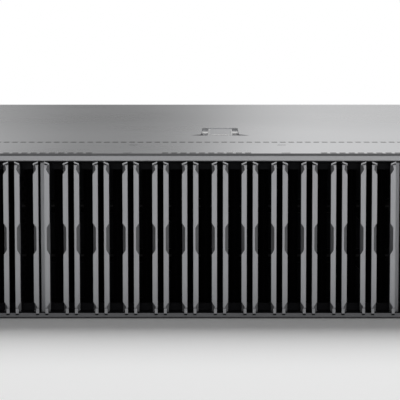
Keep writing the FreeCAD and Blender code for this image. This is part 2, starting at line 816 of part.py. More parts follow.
POWER_Z = "(chassis_height / 2 + button_spacing / 2)"
ID_Z = "(chassis_height / 2 - button_spacing / 2)"
PANEL_FACE = "(-ear_gauge - panel_block_depth)"


def control_panel():
    body = new_body("control_panel", CAP_X)
    half = "panel_block_width / 2"
    grow(body, "front", PANEL_FACE, "panel_block_depth",
         (f"-{half}", "chassis_height / 2 - panel_block_height / 2", half,
          "chassis_height / 2 + panel_block_height / 2"))
    carve(body, "front", PANEL_FACE, "button_stem + button_travel + slip",
          ring("0", POWER_Z, "power_button_radius + slip", BOSS_SIDES),
          ring("0", ID_Z, "id_button_radius + slip", BOSS_SIDES))


def button(name, radius, height):
    body = new_body(name, CAP_X, f"{PANEL_FACE}", height)
    grow(body, "front", "-button_proud", "button_proud + button_stem",
         ring("0", "0", radius, BOSS_SIDES))


STUD_SIDES = 12
HEX = 6


def rail_studs():
    """Shouldered studs on both sides, for the slots of a pair of rack rails."""
    body = new_body("rail_studs")
    rows = [f"(stud_front + {row} * stud_spacing)" for row in range(3)]
    middle = "chassis_height / 2"
    for side in (-1, 1):
        start = TRAY if side > 0 else f"(-{TRAY} - stud_neck)"
        grow(body, "side", start, "stud_neck",
             *[ring(row, middle, "stud_radius", STUD_SIDES) for row in rows])
        start = f"({TRAY} + stud_neck)" if side > 0 else f"(-{TRAY} - stud_neck - stud_head)"
        grow(body, "side", start, "stud_head",
             *[ring(row, middle, "stud_head_radius", STUD_SIDES) for row in rows])


def screws():
    """The hexagon heads that show: four on each ear's leg and two on the rear panel."""
    body = new_body("screws")
    legs = [ring(f"(ear_leg / 2 + {step} * ear_screw_spread / 2)", height, "screw_radius", HEX)
            for step in (-1, 1) for height in ("ear_screw_low", "ear_screw_high")]
    for side in (-1, 1):
        face = f"({TRAY} + ear_gauge)"
        start = face if side > 0 else f"(-{face} - screw_head)"
        grow(body, "side", start, "screw_head", *legs)
    grow(body, "front", "chassis_length", "screw_head",
         *[ring(f"({step} * riser_spacing - riser_place + riser_spacing / 2)", "screw_height",
                "screw_radius", HEX) for step in (0, 1)])


# ---------------------------------------------------------------- drives

COLUMN = f"((2 * {INNER} - cage_gauge) / drive_columns)"
ROW = f"(({DECK} - sheet_gauge - cage_gauge) / drive_rows)"
CARRIER_WIDTH = f"({COLUMN} - cage_gauge - 2 * slip)"
CARRIER_HEIGHT = f"({ROW} - cage_gauge - slip)"


def bays():
    """The left edge and floor of every drive bay, and its number."""
    columns, rows = int(SIZES["drive_columns"]), int(SIZES["drive_rows"])
    for number in range(columns * rows):
        column, row = divmod(number, rows)
        yield (number + 1, f"(-{INNER} + cage_gauge + {column} * {COLUMN})",
               f"(sheet_gauge + cage_gauge + {row} * {ROW})")


def drive_cage():
    body = new_body("drive_cage")
    windows = [(x, z, f"{x} + {COLUMN} - cage_gauge", f"{z} + {ROW} - cage_gauge")
               for number, x, z in bays()]
    grow(body, "front", "cage_front", "cage_depth",
         (f"-{INNER}", "sheet_gauge", INNER, DECK), *windows)


def drive_carrier(number, x, z):
    """A drive tray: a front plate with a lever recess and an air slot, and two side rails."""
    body = new_body(f"drive_carrier_{number:02d}", f"{x} + slip", "cage_front", z)
    wide, rail = CARRIER_WIDTH, "carrier_rail"
    grow(body, "top", "0", CARRIER_HEIGHT,
         [(0, 0), (wide, 0), (wide, "carrier_depth"), (f"{wide} - {rail}", "carrier_depth"),
          (f"{wide} - {rail}", "carrier_face"), (rail, "carrier_face"),
          (rail, "carrier_depth"), (0, "carrier_depth")])
    carve(body, "front", "0", "lever_depth",
          ("carrier_border", "carrier_border", "carrier_border + lever_reach + 2 * slip",
           f"{CARRIER_HEIGHT} - carrier_border"))
    start = "(2 * carrier_border + lever_reach + 2 * slip)"
    carve(body, "front", "0", "carrier_face",
          (start, "carrier_border", f"{wide} - carrier_border",
           f"{CARRIER_HEIGHT} - carrier_border"))


def drive_levers():
    """The twelve release levers, each lying closed in its carrier's recess."""
    body = new_body("drive_levers", "0", "cage_front", "0")
    outlines = []
    for number, x, z in bays():
        left = f"({x} + carrier_border + 2 * slip)"
        low = f"({z} + carrier_border + slip)"
        high = f"({z} + {CARRIER_HEIGHT} - carrier_border - slip)"
        outlines.append([(left, low), (f"{left} + lever_reach", low),
                         (f"{left} + lever_reach", f"{high} - lever_taper"),
                         (f"{left} + lever_reach - lever_taper", high), (left, high)])
    grow(body, "front", "0", "lever_depth", *outlines)


def hard_disks():
    body = new_body("hard_disks", "0", "cage_front + carrier_face", "0")
    boxes = []
    for number, x, z in bays():
        left, right = f"({x} + slip + carrier_rail)", f"({x} + slip + {CARRIER_WIDTH} - carrier_rail)"
        boxes.append((left, z, right, f"{z} + disk_height"))
    grow(body, "front", "0", "disk_length", *boxes)


BACKPLANE_Y = "(cage_front + cage_depth + backplane_gap)"


def drive_backplane():
    """The board behind the bays: a connector for each disk and an air window for each column."""
    body = new_body("drive_backplane")
    grow(body, "front", BACKPLANE_Y, "backplane_gauge",
         (f"-{INNER} + backplane_margin", "sheet_gauge + backplane_margin",
          f"{INNER} - backplane_margin", f"{DECK} - backplane_margin"))
    plugs, low, high = [], "(sheet_gauge + 3 * backplane_margin)", f"({DECK} - 3 * backplane_margin)"
    windows = {}
    for number, x, z in bays():
        middle = f"({x} + {COLUMN} / 2)"
        windows[x] = (f"{middle} + plug_width / 2 + backplane_margin", low,
                      f"{x} + {COLUMN} - 2 * backplane_margin", high)
        plugs.append((f"{middle} - plug_width / 2", f"{z} + backplane_margin",
                      f"{middle} + plug_width / 2", f"{z} + backplane_margin + plug_height"))
    carve(body, "front", BACKPLANE_Y, "backplane_gauge", *windows.values())
    face = "(cage_front + carrier_face + disk_length)"
    grow(body, "front", face, f"{BACKPLANE_Y} - {face}", *plugs)


# ---------------------------------------------------------------- cooling

FAN_PITCH = f"(2 * {INNER} / fan_count)"
FAN_Z = "(sheet_gauge + fan_gap + fan_size / 2)"
BORE_SIDES = 20
HUB_SIDES = 12


def fan_places():
    count = int(SIZES["fan_count"])
    return [f"(({index} - (fan_count - 1) / 2) * {FAN_PITCH})" for index in range(count)]


def fan_cage():
    """A partition across the chassis with a bay for each fan."""
    body = new_body("fan_cage")
    half = "(fan_size / 2 + slip)"
    grow(body, "front", "fan_place", "fan_depth + 2 * slip",
         (f"-{INNER}", "sheet_gauge", INNER, "sheet_gauge + 2 * fan_gap + fan_size"),
         *[(f"{x} - {half}", f"{FAN_Z} - fan_size / 2", f"{x} + {half}", f"{FAN_Z} + {half}")
           for x in fan_places()])


def fan_frames():
    """Four square fan frames: a bore, four struts and the disc that holds the motor."""
    body = new_body("fan_frames", "0", "fan_place + slip", "0")
    half, strut = "fan_size / 2", "strut_width / 2"
    places = fan_places()
    grow(body, "front", "0", "fan_depth",
         *[(f"{x} - {half}", f"{FAN_Z} - {half}", f"{x} + {half}", f"{FAN_Z} + {half}")
           for x in places])
    carve(body, "front", "0", "fan_depth",
          *[ring(x, FAN_Z, "fan_bore", BORE_SIDES) for x in places])
    rear = "(fan_depth - stator_depth)"
    grow(body, "front", rear, "stator_depth",
         *[(f"{x} - {half}", f"{FAN_Z} - {strut}", f"{x} + {half}", f"{FAN_Z} + {strut}")
           for x in places])
    grow(body, "front", rear, "stator_depth",
         *[(f"{x} - {strut}", f"{FAN_Z} - {half}", f"{x} + {strut}", f"{FAN_Z} + {half}")
           for x in places])
    grow(body, "front", rear, "stator_depth",
         *[(x, FAN_Z, "fan_hub") for x in places])


def fan_rotor(number, x):
    """A hub with pitched blades that turn clear of the frame and the motor disc."""
    body = new_body(f"fan_rotor_{number}", x, "fan_place + slip", FAN_Z)
    depth = "(fan_depth - stator_depth - 2 * fan_tip_gap)"
    grow(body, "front", "fan_tip_gap", depth, ring("0", "0", "fan_hub", HUB_SIDES))
    lean = "(blade_chord / 2 * cos(blade_angle))"
    rise = "(blade_chord / 2 * sin(blade_angle))"
    middle = f"(fan_tip_gap + {depth} / 2)"
    thick = "(blade_gauge / 2)"
    tip = f"sqrt((fan_bore - fan_tip_gap) ^ 2 - {lean} ^ 2)"
    root = f"sqrt(fan_hub ^ 2 - {lean} ^ 2) - blade_gauge"
    blade = grow(body, "top", root, f"{tip} - ({root})",
                 [(f"-{lean}", f"{middle} - {rise} - {thick}"),
                  (lean, f"{middle} + {rise} - {thick}"),
                  (lean, f"{middle} + {rise} + {thick}"),
                  (f"-{lean}", f"{middle} - {rise} + {thick}")])
    spin(body, blade, "y", "blade_count")


# ---------------------------------------------------------------- mainboard

BOARD_FLOOR = "(sheet_gauge + board_rise)"
BOARD_HALF = f"({INNER} - board_margin)"
BOARD_NECK = f"({BAY_LEFT} - 2 * sheet_gauge - board_margin)"
BOARD_REAR = f"({REAR_WALL} - slip)"


def mainboard():
    """The board, stepped round the supplies, on its standoffs."""
    body = new_body("mainboard")
    grow(body, "top", BOARD_FLOOR, "board_gauge",
         [(f"-{BOARD_HALF}", "board_front"), (BOARD_HALF, "board_front"),
          (BOARD_HALF, "board_step"), (BOARD_NECK, "board_step"), (BOARD_NECK, BOARD_REAR),
          (f"-{BOARD_HALF}", BOARD_REAR)])
    edge = "(2 * board_margin)"
    grow(body, "top", "sheet_gauge", "board_rise",
         *[ring(x, y, "standoff_radius", HEX) for x, y in
           [(f"{side} * ({BOARD_HALF} - {edge})", y) for side in (-1, 1)
            for y in (f"(board_front + {edge})", f"(board_step - {edge})")]
           + [(f"-{BOARD_HALF} + {edge}", f"({BOARD_REAR} - {edge})"),
              (f"{BOARD_NECK} - {edge}", f"({BOARD_REAR} - {edge})")]])


def heatsink(name, side):
    """A processor cooler: a base plate carrying a row of upright fins."""
    middle = f"{side} * processor_spacing / 2"
    body = new_body(name, middle, "processor_place - sink_length / 2", BOARD_TOP)
    half = "(sink_width / 2)"
    grow(body, "top", "0", "sink_base", (f"-{half}", 0, half, "sink_length"))
    fin = grow(body, "top", "sink_base", "sink_height - sink_base",
               (f"-{half}", 0, f"-{half} + sink_fin_gauge", "sink_length"))
    repeat(body, fin, "x", "sink_fins", "(sink_width - sink_fin_gauge) / (sink_fins - 1)")


def memory_modules():
    """Four banks of memory modules, one on each side of each processor."""
    body = new_body("memory_modules")
    start = "(processor_place - module_length / 2)"
    boxes = []
    count = int(SIZES["modules_in_bank"])
    for side in (-1, 1):
        for flank in (-1, 1):
            for index in range(count):
                offset = f"(sink_width / 2 + bank_gap + {index} * module_pitch)"
                x = f"({side} * processor_spacing / 2 + {flank} * {offset})"
                boxes.append((f"{x} - module_gauge / 2", start, f"{x} + module_gauge / 2",
                              f"{start} + module_length"))
    grow(body, "top", BOARD_TOP, "module_height", *boxes)


def air_shroud():
    """The duct that carries the fans' air over the processors and the memory."""
    body = new_body("air_shroud")
    half = f"({BOARD_HALF} - shroud_gauge)"
    foot, roof = BOARD_TOP, f"({BOARD_TOP} + shroud_height)"
    thick = "shroud_gauge"
    grow(body, "front", "(processor_place - shroud_length / 2)", "shroud_length",
         [(f"-{half}", foot), (f"-{half}", roof), (half, roof), (half, foot),
          (f"{half} - {thick}", foot), (f"{half} - {thick}", f"{roof} - {thick}"),
          (f"-{half} + {thick}", f"{roof} - {thick}"), (f"-{half} + {thick}", foot)])


# ---------------------------------------------------------------- rear

def riser(name, index):
    """A riser board standing on the mainboard, with a card slot for each row."""
    middle = f"({index} * riser_spacing - riser_place)"
    body = new_body(name, middle, f"{REAR_WALL} - riser_setback - riser_length", BOARD_TOP)
    near = "(-slot_cover_length / 2)"
    tall = f"({DECK} - {BOARD_TOP} - riser_setback)"
    grow(body, "front", "0", "riser_length", (near, 0, f"{near} + board_gauge", tall))
    rows = []
    for row in range(int(SIZES["slot_rows"])):
        level = f"({SLOT_FLOOR} - {BOARD_TOP} + ({row} + 0.5) * slot_cover_pitch)"
        rows.append((f"{near} + board_gauge", f"{level} - card_slot_gauge / 2",
                     f"{near} + board_gauge + card_slot_reach", f"{level} + card_slot_gauge / 2"))
    grow(body, "front", "riser_setback", "card_slot_length", *rows)


def slot_covers():
    """The blank brackets that close the empty expansion slots."""
    body = new_body("slot_covers")
    outlines = []
    for index in range(2):
        middle = f"({index} * riser_spacing - riser_place)"
        for row in range(int(SIZES["slot_rows"])):
            low = f"({SLOT_FLOOR} + ({row} + 0.5) * slot_cover_pitch - slot_cover_rise / 2)"
            outlines.append((f"{middle} - slot_cover_length / 2", low,
                             f"{middle} + slot_cover_length / 2", f"{low} + slot_cover_rise"))
    grow(body, "front", f"({REAR_WALL} - slot_cover_gauge)", "slot_cover_gauge", *outlines)


def io_ports():
    """The port shells on the board's rear edge: network pair, stacked pair, two D shells."""
    body = new_body("io_ports")
    start = "(chassis_length - port_depth)"
    grow(body, "front", start, "port_depth", *[port_box(port, "0") for port in PORTS])
    wall = "port_wall"
    mouth = "(chassis_length - port_mouth)"
    half = "((network_width - 3 * port_wall) / 2)"
    sockets = []
    for index in range(2):
        left = f"(network_place - network_width / 2 + {wall} + {index} * ({half} + {wall}))"
        sockets.append((left, f"{BOARD_TOP} + {wall}", f"{left} + {half}",
                        f"{BOARD_TOP} + network_height - {wall}"))
    level = "((usb_height - 3 * port_wall) / 2)"
    for index in range(2):
        low = f"({BOARD_TOP} + {wall} + {index} * ({level} + {wall}))"
        sockets.append((f"usb_place - usb_width / 2 + {wall}", low,
                        f"usb_place + usb_width / 2 - {wall}", f"{low} + {level}"))
    carve(body, "front", mouth, "port_mouth", *sockets)
    shells = []
    for place_x in ("video_place", "serial_place"):
        low, high = f"({BOARD_TOP} + 2 * {wall})", f"({BOARD_TOP} + video_height - 2 * {wall})"
        wide, narrow = "(video_shell / 2)", f"(video_shell / 2 - {wall})"
        shells.append([(f"{place_x} - {narrow}", low), (f"{place_x} + {narrow}", low),
                       (f"{place_x} + {wide}", high), (f"{place_x} - {wide}", high)])
    grow(body, "front", "chassis_length", "video_proud", *shells)


def supply_cage():
    """The sheet frame round the two supply bays: two side walls joined by a shelf."""
    body = new_body("supply_cage")
    low, high = "sheet_gauge", f"({BAY_FLOOR} + supply_count * {BAY_RISE} - sheet_gauge)"
    shelf = f"({BAY_FLOOR} + {BAY_RISE} - sheet_gauge - slip)"
    left, right, thick = BAY_LEFT, BAY_RIGHT, "sheet_gauge"
    start = "(chassis_length - supply_length + supply_cage_setback)"
    grow(body, "front", start, f"{REAR_WALL} - {start}",
         [(f"{left} - {thick}", low), (left, low), (left, shelf), (right, shelf),
          (right, low), (f"{right} + {thick}", low), (f"{right} + {thick}", high),
          (right, high), (right, f"{shelf} + {thick}"), (left, f"{shelf} + {thick}"),
          (left, high), (f"{left} - {thick}", high)])


SUPPLY_NOSE = "(chassis_length - supply_length - tongue_length - slip)"


def supply_floor(number):
    return f"({BAY_FLOOR} + {number - 1} * {BAY_RISE})"


def power_board():
    """The upright board with a socket for each supply's tongue."""
    body = new_body("power_board")
    face = SUPPLY_NOSE
    grow(body, "front", f"{face} - board_gauge", "board_gauge",
         (BAY_LEFT, "sheet_gauge", BAY_RIGHT, f"{DECK} - backplane_margin"))
    blocks, mouths = [], []
    for number in (1, 2):
        middle = f"({supply_floor(number)} + supply_height / 2)"
        wide = "(tongue_width / 2 + socket_wall)"
        tall = "(tongue_gauge / 2 + socket_wall)"
        blocks.append((f"{SUPPLY_X} - {wide}", f"{middle} - {tall}", f"{SUPPLY_X} + {wide}",
                       f"{middle} + {tall}"))
        wide, tall = "(tongue_width / 2 + slip)", "(tongue_gauge / 2 + slip)"
        mouths.append((f"{SUPPLY_X} - {wide}", f"{middle} - {tall}", f"{SUPPLY_X} + {wide}",
                       f"{middle} + {tall}"))
    grow(body, "front", face, "tongue_length", *blocks)
    carve(body, "front", face, "tongue_length", *mouths)


FAN_SIDE = "(-supply_width / 2 + handle_width + supply_margin + supply_fan_radius)"
INLET_X = f"({FAN_SIDE} + supply_fan_radius + supply_margin + inlet_width / 2)"


def supply(number):
    """A power supply: closed case, card tongue, fan grille and mains inlet."""
    body = new_body(f"supply_{number}", SUPPLY_X, "chassis_length", supply_floor(number))
    half, mid = "(supply_width / 2)", "(supply_height / 2)"
    grow(body, "front", "-supply_length", "supply_length", (f"-{half}", 0, half, "supply_height"))
    grow(body, "front", "-supply_length - tongue_length", "tongue_length",
         ("-tongue_width / 2", f"{mid} - tongue_gauge / 2", "tongue_width / 2",
          f"{mid} + tongue_gauge / 2"))
    carve(body, "front", "-supply_fan_depth", "supply_fan_depth",
          ring(FAN_SIDE, mid, "supply_fan_radius", BORE_SIDES))
    wide, tall, cut = "(inlet_width / 2)", "(inlet_height / 2)", "inlet_corner"
    left, right = f"({INLET_X} - {wide})", f"({INLET_X} + {wide})"
    low, high = f"({mid} - {tall})", f"({mid} + {tall})"
    carve(body, "front", "-inlet_depth", "inlet_depth",
          [(left, low), (right, low), (right, f"{high} - {cut}"), (f"{right} - {cut}", high),
           (f"{left} + {cut}", high), (left, f"{high} - {cut}")])
    pins = [(f"({INLET_X} + {step} * inlet_pin_spacing)", f"({mid} + {lift} * inlet_pin_lift)")
            for step, lift in ((-1, -1), (0, 1), (1, -1))]
    grow(body, "front", "-inlet_depth", "inlet_pin_length",
         *[(f"{x} - inlet_pin_gauge / 2", f"{z} - inlet_pin_gauge", f"{x} + inlet_pin_gauge / 2",
            f"{z} + inlet_pin_gauge") for x, z in pins])
    carve(body, "front", "-latch_stem - slip", "latch_stem + slip",
          (f"{half} - latch_inset - latch_gauge - release_travel - slip",
           f"{mid} - latch_rise / 2 - slip", f"{half} - latch_inset + slip",
           f"{mid} + latch_rise / 2 + slip"))


def supply_handle(number):
    """A strap handle that stands out from the supply's rear face."""
    body = new_body(f"supply_handle_{number}", SUPPLY_X, "chassis_length",
                    supply_floor(number))
    mid, half, thick = "(supply_height / 2)", "(handle_height / 2)", "handle_gauge"
    low, high = f"({mid} - {half})", f"({mid} + {half})"
    far = "handle_reach"
    grow(body, "side", "-supply_width / 2 + supply_margin", "handle_width - supply_margin",
         [(0, low), (far, low), (far, high), (0, high), (0, f"{high} - {thick}"),
          (f"{far} - {thick}", f"{high} - {thick}"), (f"{far} - {thick}", f"{low} + {thick}"),
          (0, f"{low} + {thick}")])


def supply_latch(number):
    """The release tab: squeezed towards the handle it frees the supply."""
    body = new_body(f"supply_latch_{number}", SUPPLY_X, "chassis_length", supply_floor(number))
    right, mid = "(supply_width / 2 - latch_inset)", "(supply_height / 2)"
    grow(body, "top", f"{mid} - latch_rise / 2", "latch_rise",
         [(f"{right} - latch_gauge", "-latch_stem"), (right, "-latch_stem"),
          (right, "latch_reach"), (f"{right} - 2 * latch_gauge", "latch_reach"),
          (f"{right} - 2 * latch_gauge", "latch_reach - latch_gauge"),
          (f"{right} - latch_gauge", "latch_reach - 2 * latch_gauge")])


# ---------------------------------------------------------------- assembly

def build_all():
    front_top_cover()
    top_cover()
    latch_pin()
    cover_latch()
    rear_top_strip()
    bezel_frame()
    bezel_fins()
    bezel_grille()
    bezel_end_left()
    bezel_end("bezel_end_right", 1)
    bezel_lock()
    bezel_release()
    chassis_tray()
    rear_panel()
    ear("ear_left", -1)
    ear("ear_right", 1)
    control_panel()
    button("power_button", "power_button_radius", POWER_Z)
    button("id_button", "id_button_radius", ID_Z)
    rail_studs()
    screws()
    drive_cage()
    for bay in bays():
        drive_carrier(*bay)
    drive_levers()
    hard_disks()
    drive_backplane()
    fan_cage()
    fan_frames()
    for number, x in enumerate(fan_places(), start=1):
        fan_rotor(number, x)
    mainboard()
    heatsink("heatsink_left", -1)
    heatsink("heatsink_right", 1)
    memory_modules()
    air_shroud()
    riser("riser_left", 0)
    riser("riser_right", 1)
    slot_covers()
    io_ports()
    supply_cage()
    power_board()
    for number in range(1, int(SIZES["supply_count"]) + 1):
        supply(number)
        supply_handle(number)
        supply_latch(number)


def check_document():
    """Stop if any object failed to build or any piece is not a sound solid."""
    for item in doc.Objects:
        if {"Invalid", "Error"} & set(item.State):
            raise RuntimeError(f"{item.Label} failed: {item.State}")
    for piece in pieces:
        shape = piece.Shape
        if shape.isNull() or not shape.isValid() or not shape.Solids:
            raise RuntimeError(f"{piece.Label} has no valid solid")


def write_parts():
    os.makedirs("parts", exist_ok=True)
    for piece in pieces:
        piece.Shape.exportStep(f"parts/{piece.Label}.step")


def main():
    fill_sheet()
    build_all()
    doc.recompute()
    check_document()
    write_parts()
    print(len(pieces), "pieces written")


main()
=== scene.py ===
import json
import logging
import math
from collections.abc import Iterable, Sequence
from dataclasses import dataclass
from enum import Enum

import bmesh
import bpy
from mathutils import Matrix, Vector


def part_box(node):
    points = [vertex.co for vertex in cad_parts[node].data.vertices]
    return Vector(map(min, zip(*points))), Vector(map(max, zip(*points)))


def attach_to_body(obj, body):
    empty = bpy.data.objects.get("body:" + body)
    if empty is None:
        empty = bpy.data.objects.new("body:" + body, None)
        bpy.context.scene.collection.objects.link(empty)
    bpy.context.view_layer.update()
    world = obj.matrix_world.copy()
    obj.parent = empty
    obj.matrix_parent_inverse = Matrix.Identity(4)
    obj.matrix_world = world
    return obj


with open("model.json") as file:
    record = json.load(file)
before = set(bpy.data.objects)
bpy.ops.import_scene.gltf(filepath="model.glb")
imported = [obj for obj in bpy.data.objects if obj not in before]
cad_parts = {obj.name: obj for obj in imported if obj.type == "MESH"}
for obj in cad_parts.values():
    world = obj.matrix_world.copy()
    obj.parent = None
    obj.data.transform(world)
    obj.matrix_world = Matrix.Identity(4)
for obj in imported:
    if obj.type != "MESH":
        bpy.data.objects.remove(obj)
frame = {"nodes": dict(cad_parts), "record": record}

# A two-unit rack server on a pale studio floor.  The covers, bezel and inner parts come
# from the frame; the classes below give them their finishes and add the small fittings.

log = logging.getLogger("server")

Color = tuple[float, float, float]
Point = tuple[float, float, float]
Span = tuple[float, float]
Change = tuple[float, float, float, float]
Profile = tuple[Span, ...]
Ring = list[bmesh.types.BMVert]
Corners = tuple[Vector, Vector]


# ---------------------------------------------------------------- shader graph

class Socket:
    """A value in a shader graph; Python operators on it add Math nodes."""

    # A repeat starts this many steps below nought, so that it runs on evenly there.
    steps_below = 1000

    def __init__(self, graph: "Graph", link: bpy.types.NodeSocket) -> None:
        """Wrap one output of a graph's node."""
        self.graph = graph
        self.link = link

    def _math(self, operation: str, *values: "Socket | float") -> "Socket":
        """Add one Math node.

        Args:
            operation: The Math node's operation.
            values: Its inputs in order.

        Returns:
            The node's result.
        """
        return self.graph.node("ShaderNodeMath", {"operation": operation}, *values)

    def __add__(self, other: "Socket | float") -> "Socket":
        """The sum."""
        return self._math("ADD", self, other)

    def __radd__(self, other: float) -> "Socket":
        """The sum, with a number first."""
        return self._math("ADD", other, self)

    def __sub__(self, other: "Socket | float") -> "Socket":
        """The difference."""
        return self._math("SUBTRACT", self, other)

    def __rsub__(self, other: float) -> "Socket":
        """The difference, with a number first."""
        return self._math("SUBTRACT", other, self)

    def __mul__(self, other: "Socket | float") -> "Socket":
        """The product."""
        return self._math("MULTIPLY", self, other)

    def __rmul__(self, other: float) -> "Socket":
        """The product, with a number first."""
        return self._math("MULTIPLY", other, self)

    def __truediv__(self, other: "Socket | float") -> "Socket":
        """The quotient."""
        return self._math("DIVIDE", self, other)

    def __rtruediv__(self, other: float) -> "Socket":
        """The quotient, with a number first."""
        return self._math("DIVIDE", other, self)

    def __gt__(self, other: "Socket | float") -> "Socket":
        """One where this is greater."""
        return self._math("GREATER_THAN", self, other)

    def __lt__(self, other: "Socket | float") -> "Socket":
        """One where this is less."""
        return self._math("LESS_THAN", self, other)

    def __neg__(self) -> "Socket":
        """The value with its sign turned."""
        return self._math("MULTIPLY", self, -1.0)

    def __abs__(self) -> "Socket":
        """The size without its sign."""
        return self._math("ABSOLUTE", self)

    def root(self) -> "Socket":
        """The square root."""
        return self._math("SQRT", self)

    def greatest(self, other: "Socket | float") -> "Socket":
        """The greater of this and another value."""
        return self._math("MAXIMUM", self, other)

    def between(self, low: float, high: float) -> "Socket":
        """One between two values."""
        return (self > low) * (self < high)

    def repeat(self, pitch: float) -> "Socket":
        """The distance into each step of a repeat, from 0 to the pitch."""
        return self._math("MODULO", self + self.steps_below * pitch, pitch)

    def ramp_linear(self, low: float, high: float) -> "Socket":
        """The place between two values, from 0 to 1."""
        return self.graph.node("ShaderNodeMapRange", {}, self, low, high, 0.0, 1.0)

    def ramp(self, low: float, high: float, start: float = 0.0, end: float = 1.0
             ) -> "Socket":
        """A smooth rise between two values of this one.

        Args:
            low: Where the rise begins.
            high: Where it ends.
            start: The result at and below low.
            end: The result at and above high.

        Returns:
            The eased value.
        """
        return self.graph.node("ShaderNodeMapRange", {"interpolation_type": "SMOOTHSTEP"},
                               self, low, high, start, end)


Value = Socket | float | Sequence[float]


class Graph:
    """A node tree that is filled through one method."""

    def __init__(self, tree: bpy.types.NodeTree) -> None:
        """Empty the node tree of a material or a world."""
        self.tree = tree
        tree.nodes.clear()

    def add(self, kind: str, settings: dict[str, object], *values: Value,
            **named: Value) -> bpy.types.Node:
        """Add a node of any type.

        Args:
            kind: The node's type.
            settings: Properties to set first; "stops" fills a colour ramp.
            values: Inputs in order.
            named: Inputs by name, with an underscore for each space.

        Returns:
            The node.
        """
        node = self.tree.nodes.new(kind)
        for name, value in settings.items():
            if name == "stops":
                self._fill_ramp(node.color_ramp, value)
            else:
                setattr(node, name, value)
        enabled = (socket for socket in node.inputs if socket.enabled)
        for value, socket in zip(values, enabled):
            self._feed(socket, value)
        for name, value in named.items():
            self._feed(node.inputs[name.replace("_", " ")], value)
        return node

    def node(self, kind: str, settings: dict[str, object], *values: Value,
             output: str | None = None, **named: Value) -> Socket:
        """Add a node and wrap one of its outputs.

        Args:
            kind: The node's type.
            settings: Properties to set first.
            values: Inputs in order.
            output: The output's name; the first enabled one if left out.
            named: Inputs by name.

        Returns:
            The wrapped output.
        """
        made = self.add(kind, settings, *values, **named)
        if output is not None:
            return Socket(self, made.outputs[output])
        return Socket(self, next(socket for socket in made.outputs if socket.enabled))

    def _feed(self, socket: bpy.types.NodeSocket, value: Value) -> None:
        """Link one input, or set it to a number, a vector or an opaque colour.

        Args:
            socket: The input.
            value: What it gets.
        """
        if isinstance(value, Socket):
            self.tree.links.new(value.link, socket)
        else:
            socket.default_value = (*value, 1.0) if socket.type == "RGBA" else value

    @staticmethod
    def _fill_ramp(ramp: bpy.types.ColorRamp, stops: Iterable[tuple[float, Color]]
                   ) -> None:
        """Set a colour ramp's stops.

        Args:
            ramp: The ramp, which starts with two stops.
            stops: The place and colour of each.
        """
        for index, (place, color) in enumerate(stops):
            started = index < len(ramp.elements)
            stop = ramp.elements[index] if started else ramp.elements.new(place)
            stop.position = place
            stop.color = (*color, 1.0)

    def mix(self, factor: Value, first: Value, second: Value) -> Socket:
        """A mix of two colours.

        Args:
            factor: Zero gives the first and one the second.
            first: A colour.
            second: A colour.

        Returns:
            The mixed colour.
        """
        return self.node("ShaderNodeMix", {"data_type": "RGBA"}, factor, first, second)

    def place(self) -> Socket:
        """The position on the object, in metres of the common frame."""
        return self.node("ShaderNodeTexCoord", {}, output="Object")

    def axes(self, vector: Socket) -> tuple[Socket, Socket, Socket]:
        """The three parts of a vector."""
        parts = self.add("ShaderNodeSeparateXYZ", {}, vector)
        return tuple(Socket(self, socket) for socket in parts.outputs)

    def stretched(self, scale: Point) -> Socket:
        """The position with each axis scaled by itself."""
        return self.node("ShaderNodeVectorMath", {"operation": "MULTIPLY"},
                         self.place(), scale)

    def noise(self, scale: Point, detail: float = 2.0) -> Socket:
        """Noise from 0 to 1.

        Args:
            scale: How many features a metre holds along each axis.
            detail: The number of finer octaves.

        Returns:
            The noise value.
        """
        return self.node("ShaderNodeTexNoise", {"noise_dimensions": "3D"},
                         self.stretched(scale), output="Fac", Scale=1.0, Detail=detail)

    def bump(self, height: Socket, distance: float, strength: float) -> Socket:
        """A surface normal from a height.

        Args:
            height: The height, from 0 to 1.
            distance: The depth of the relief in metres.
            strength: How much of it is used.

        Returns:
            The normal.
        """
        return self.node("ShaderNodeBump", {}, Height=height, Distance=distance,
                         Strength=strength)

    def ray(self, kind: str) -> Socket:
        """One for the rays of a kind."""
        return self.node("ShaderNodeLightPath", {}, output=kind)

    def by_gloss(self) -> Socket:
        """One for the rays that come by way of gloss or glass."""
        return self.ray("Is Glossy Ray").greatest(self.ray("Is Transmission Ray"))

    def seen_directly(self) -> Socket:
        """One for what the camera sees, by itself or through gloss and glass."""
        return self.ray("Is Camera Ray").greatest(self.by_gloss())

    def tilt(self) -> tuple[Socket, Socket, Socket]:
        """Which way the surface faces in the piece's own frame."""
        return self.axes(self.node("ShaderNodeTexCoord", {}, output="Normal"))

    def cells(self, scale: Point, output: str) -> Socket:
        """One output of a pattern of cells, with as many to a metre as the scale says."""
        return self.node("ShaderNodeTexVoronoi", {"feature": "F1"}, self.stretched(scale),
                         output=output, Scale=1.0)

    def facing_front(self, low: float, high: float) -> Socket:
        """One where the surface looks forward, by the cosines that it rises between."""
        _, forward, _ = self.tilt()
        return (-forward).ramp(low, high)


# ---------------------------------------------------------------- finishes

Inputs = dict[str, Socket]

# Most of a noise's values lie between these.
NOISE_SPAN = (0.3, 0.7)


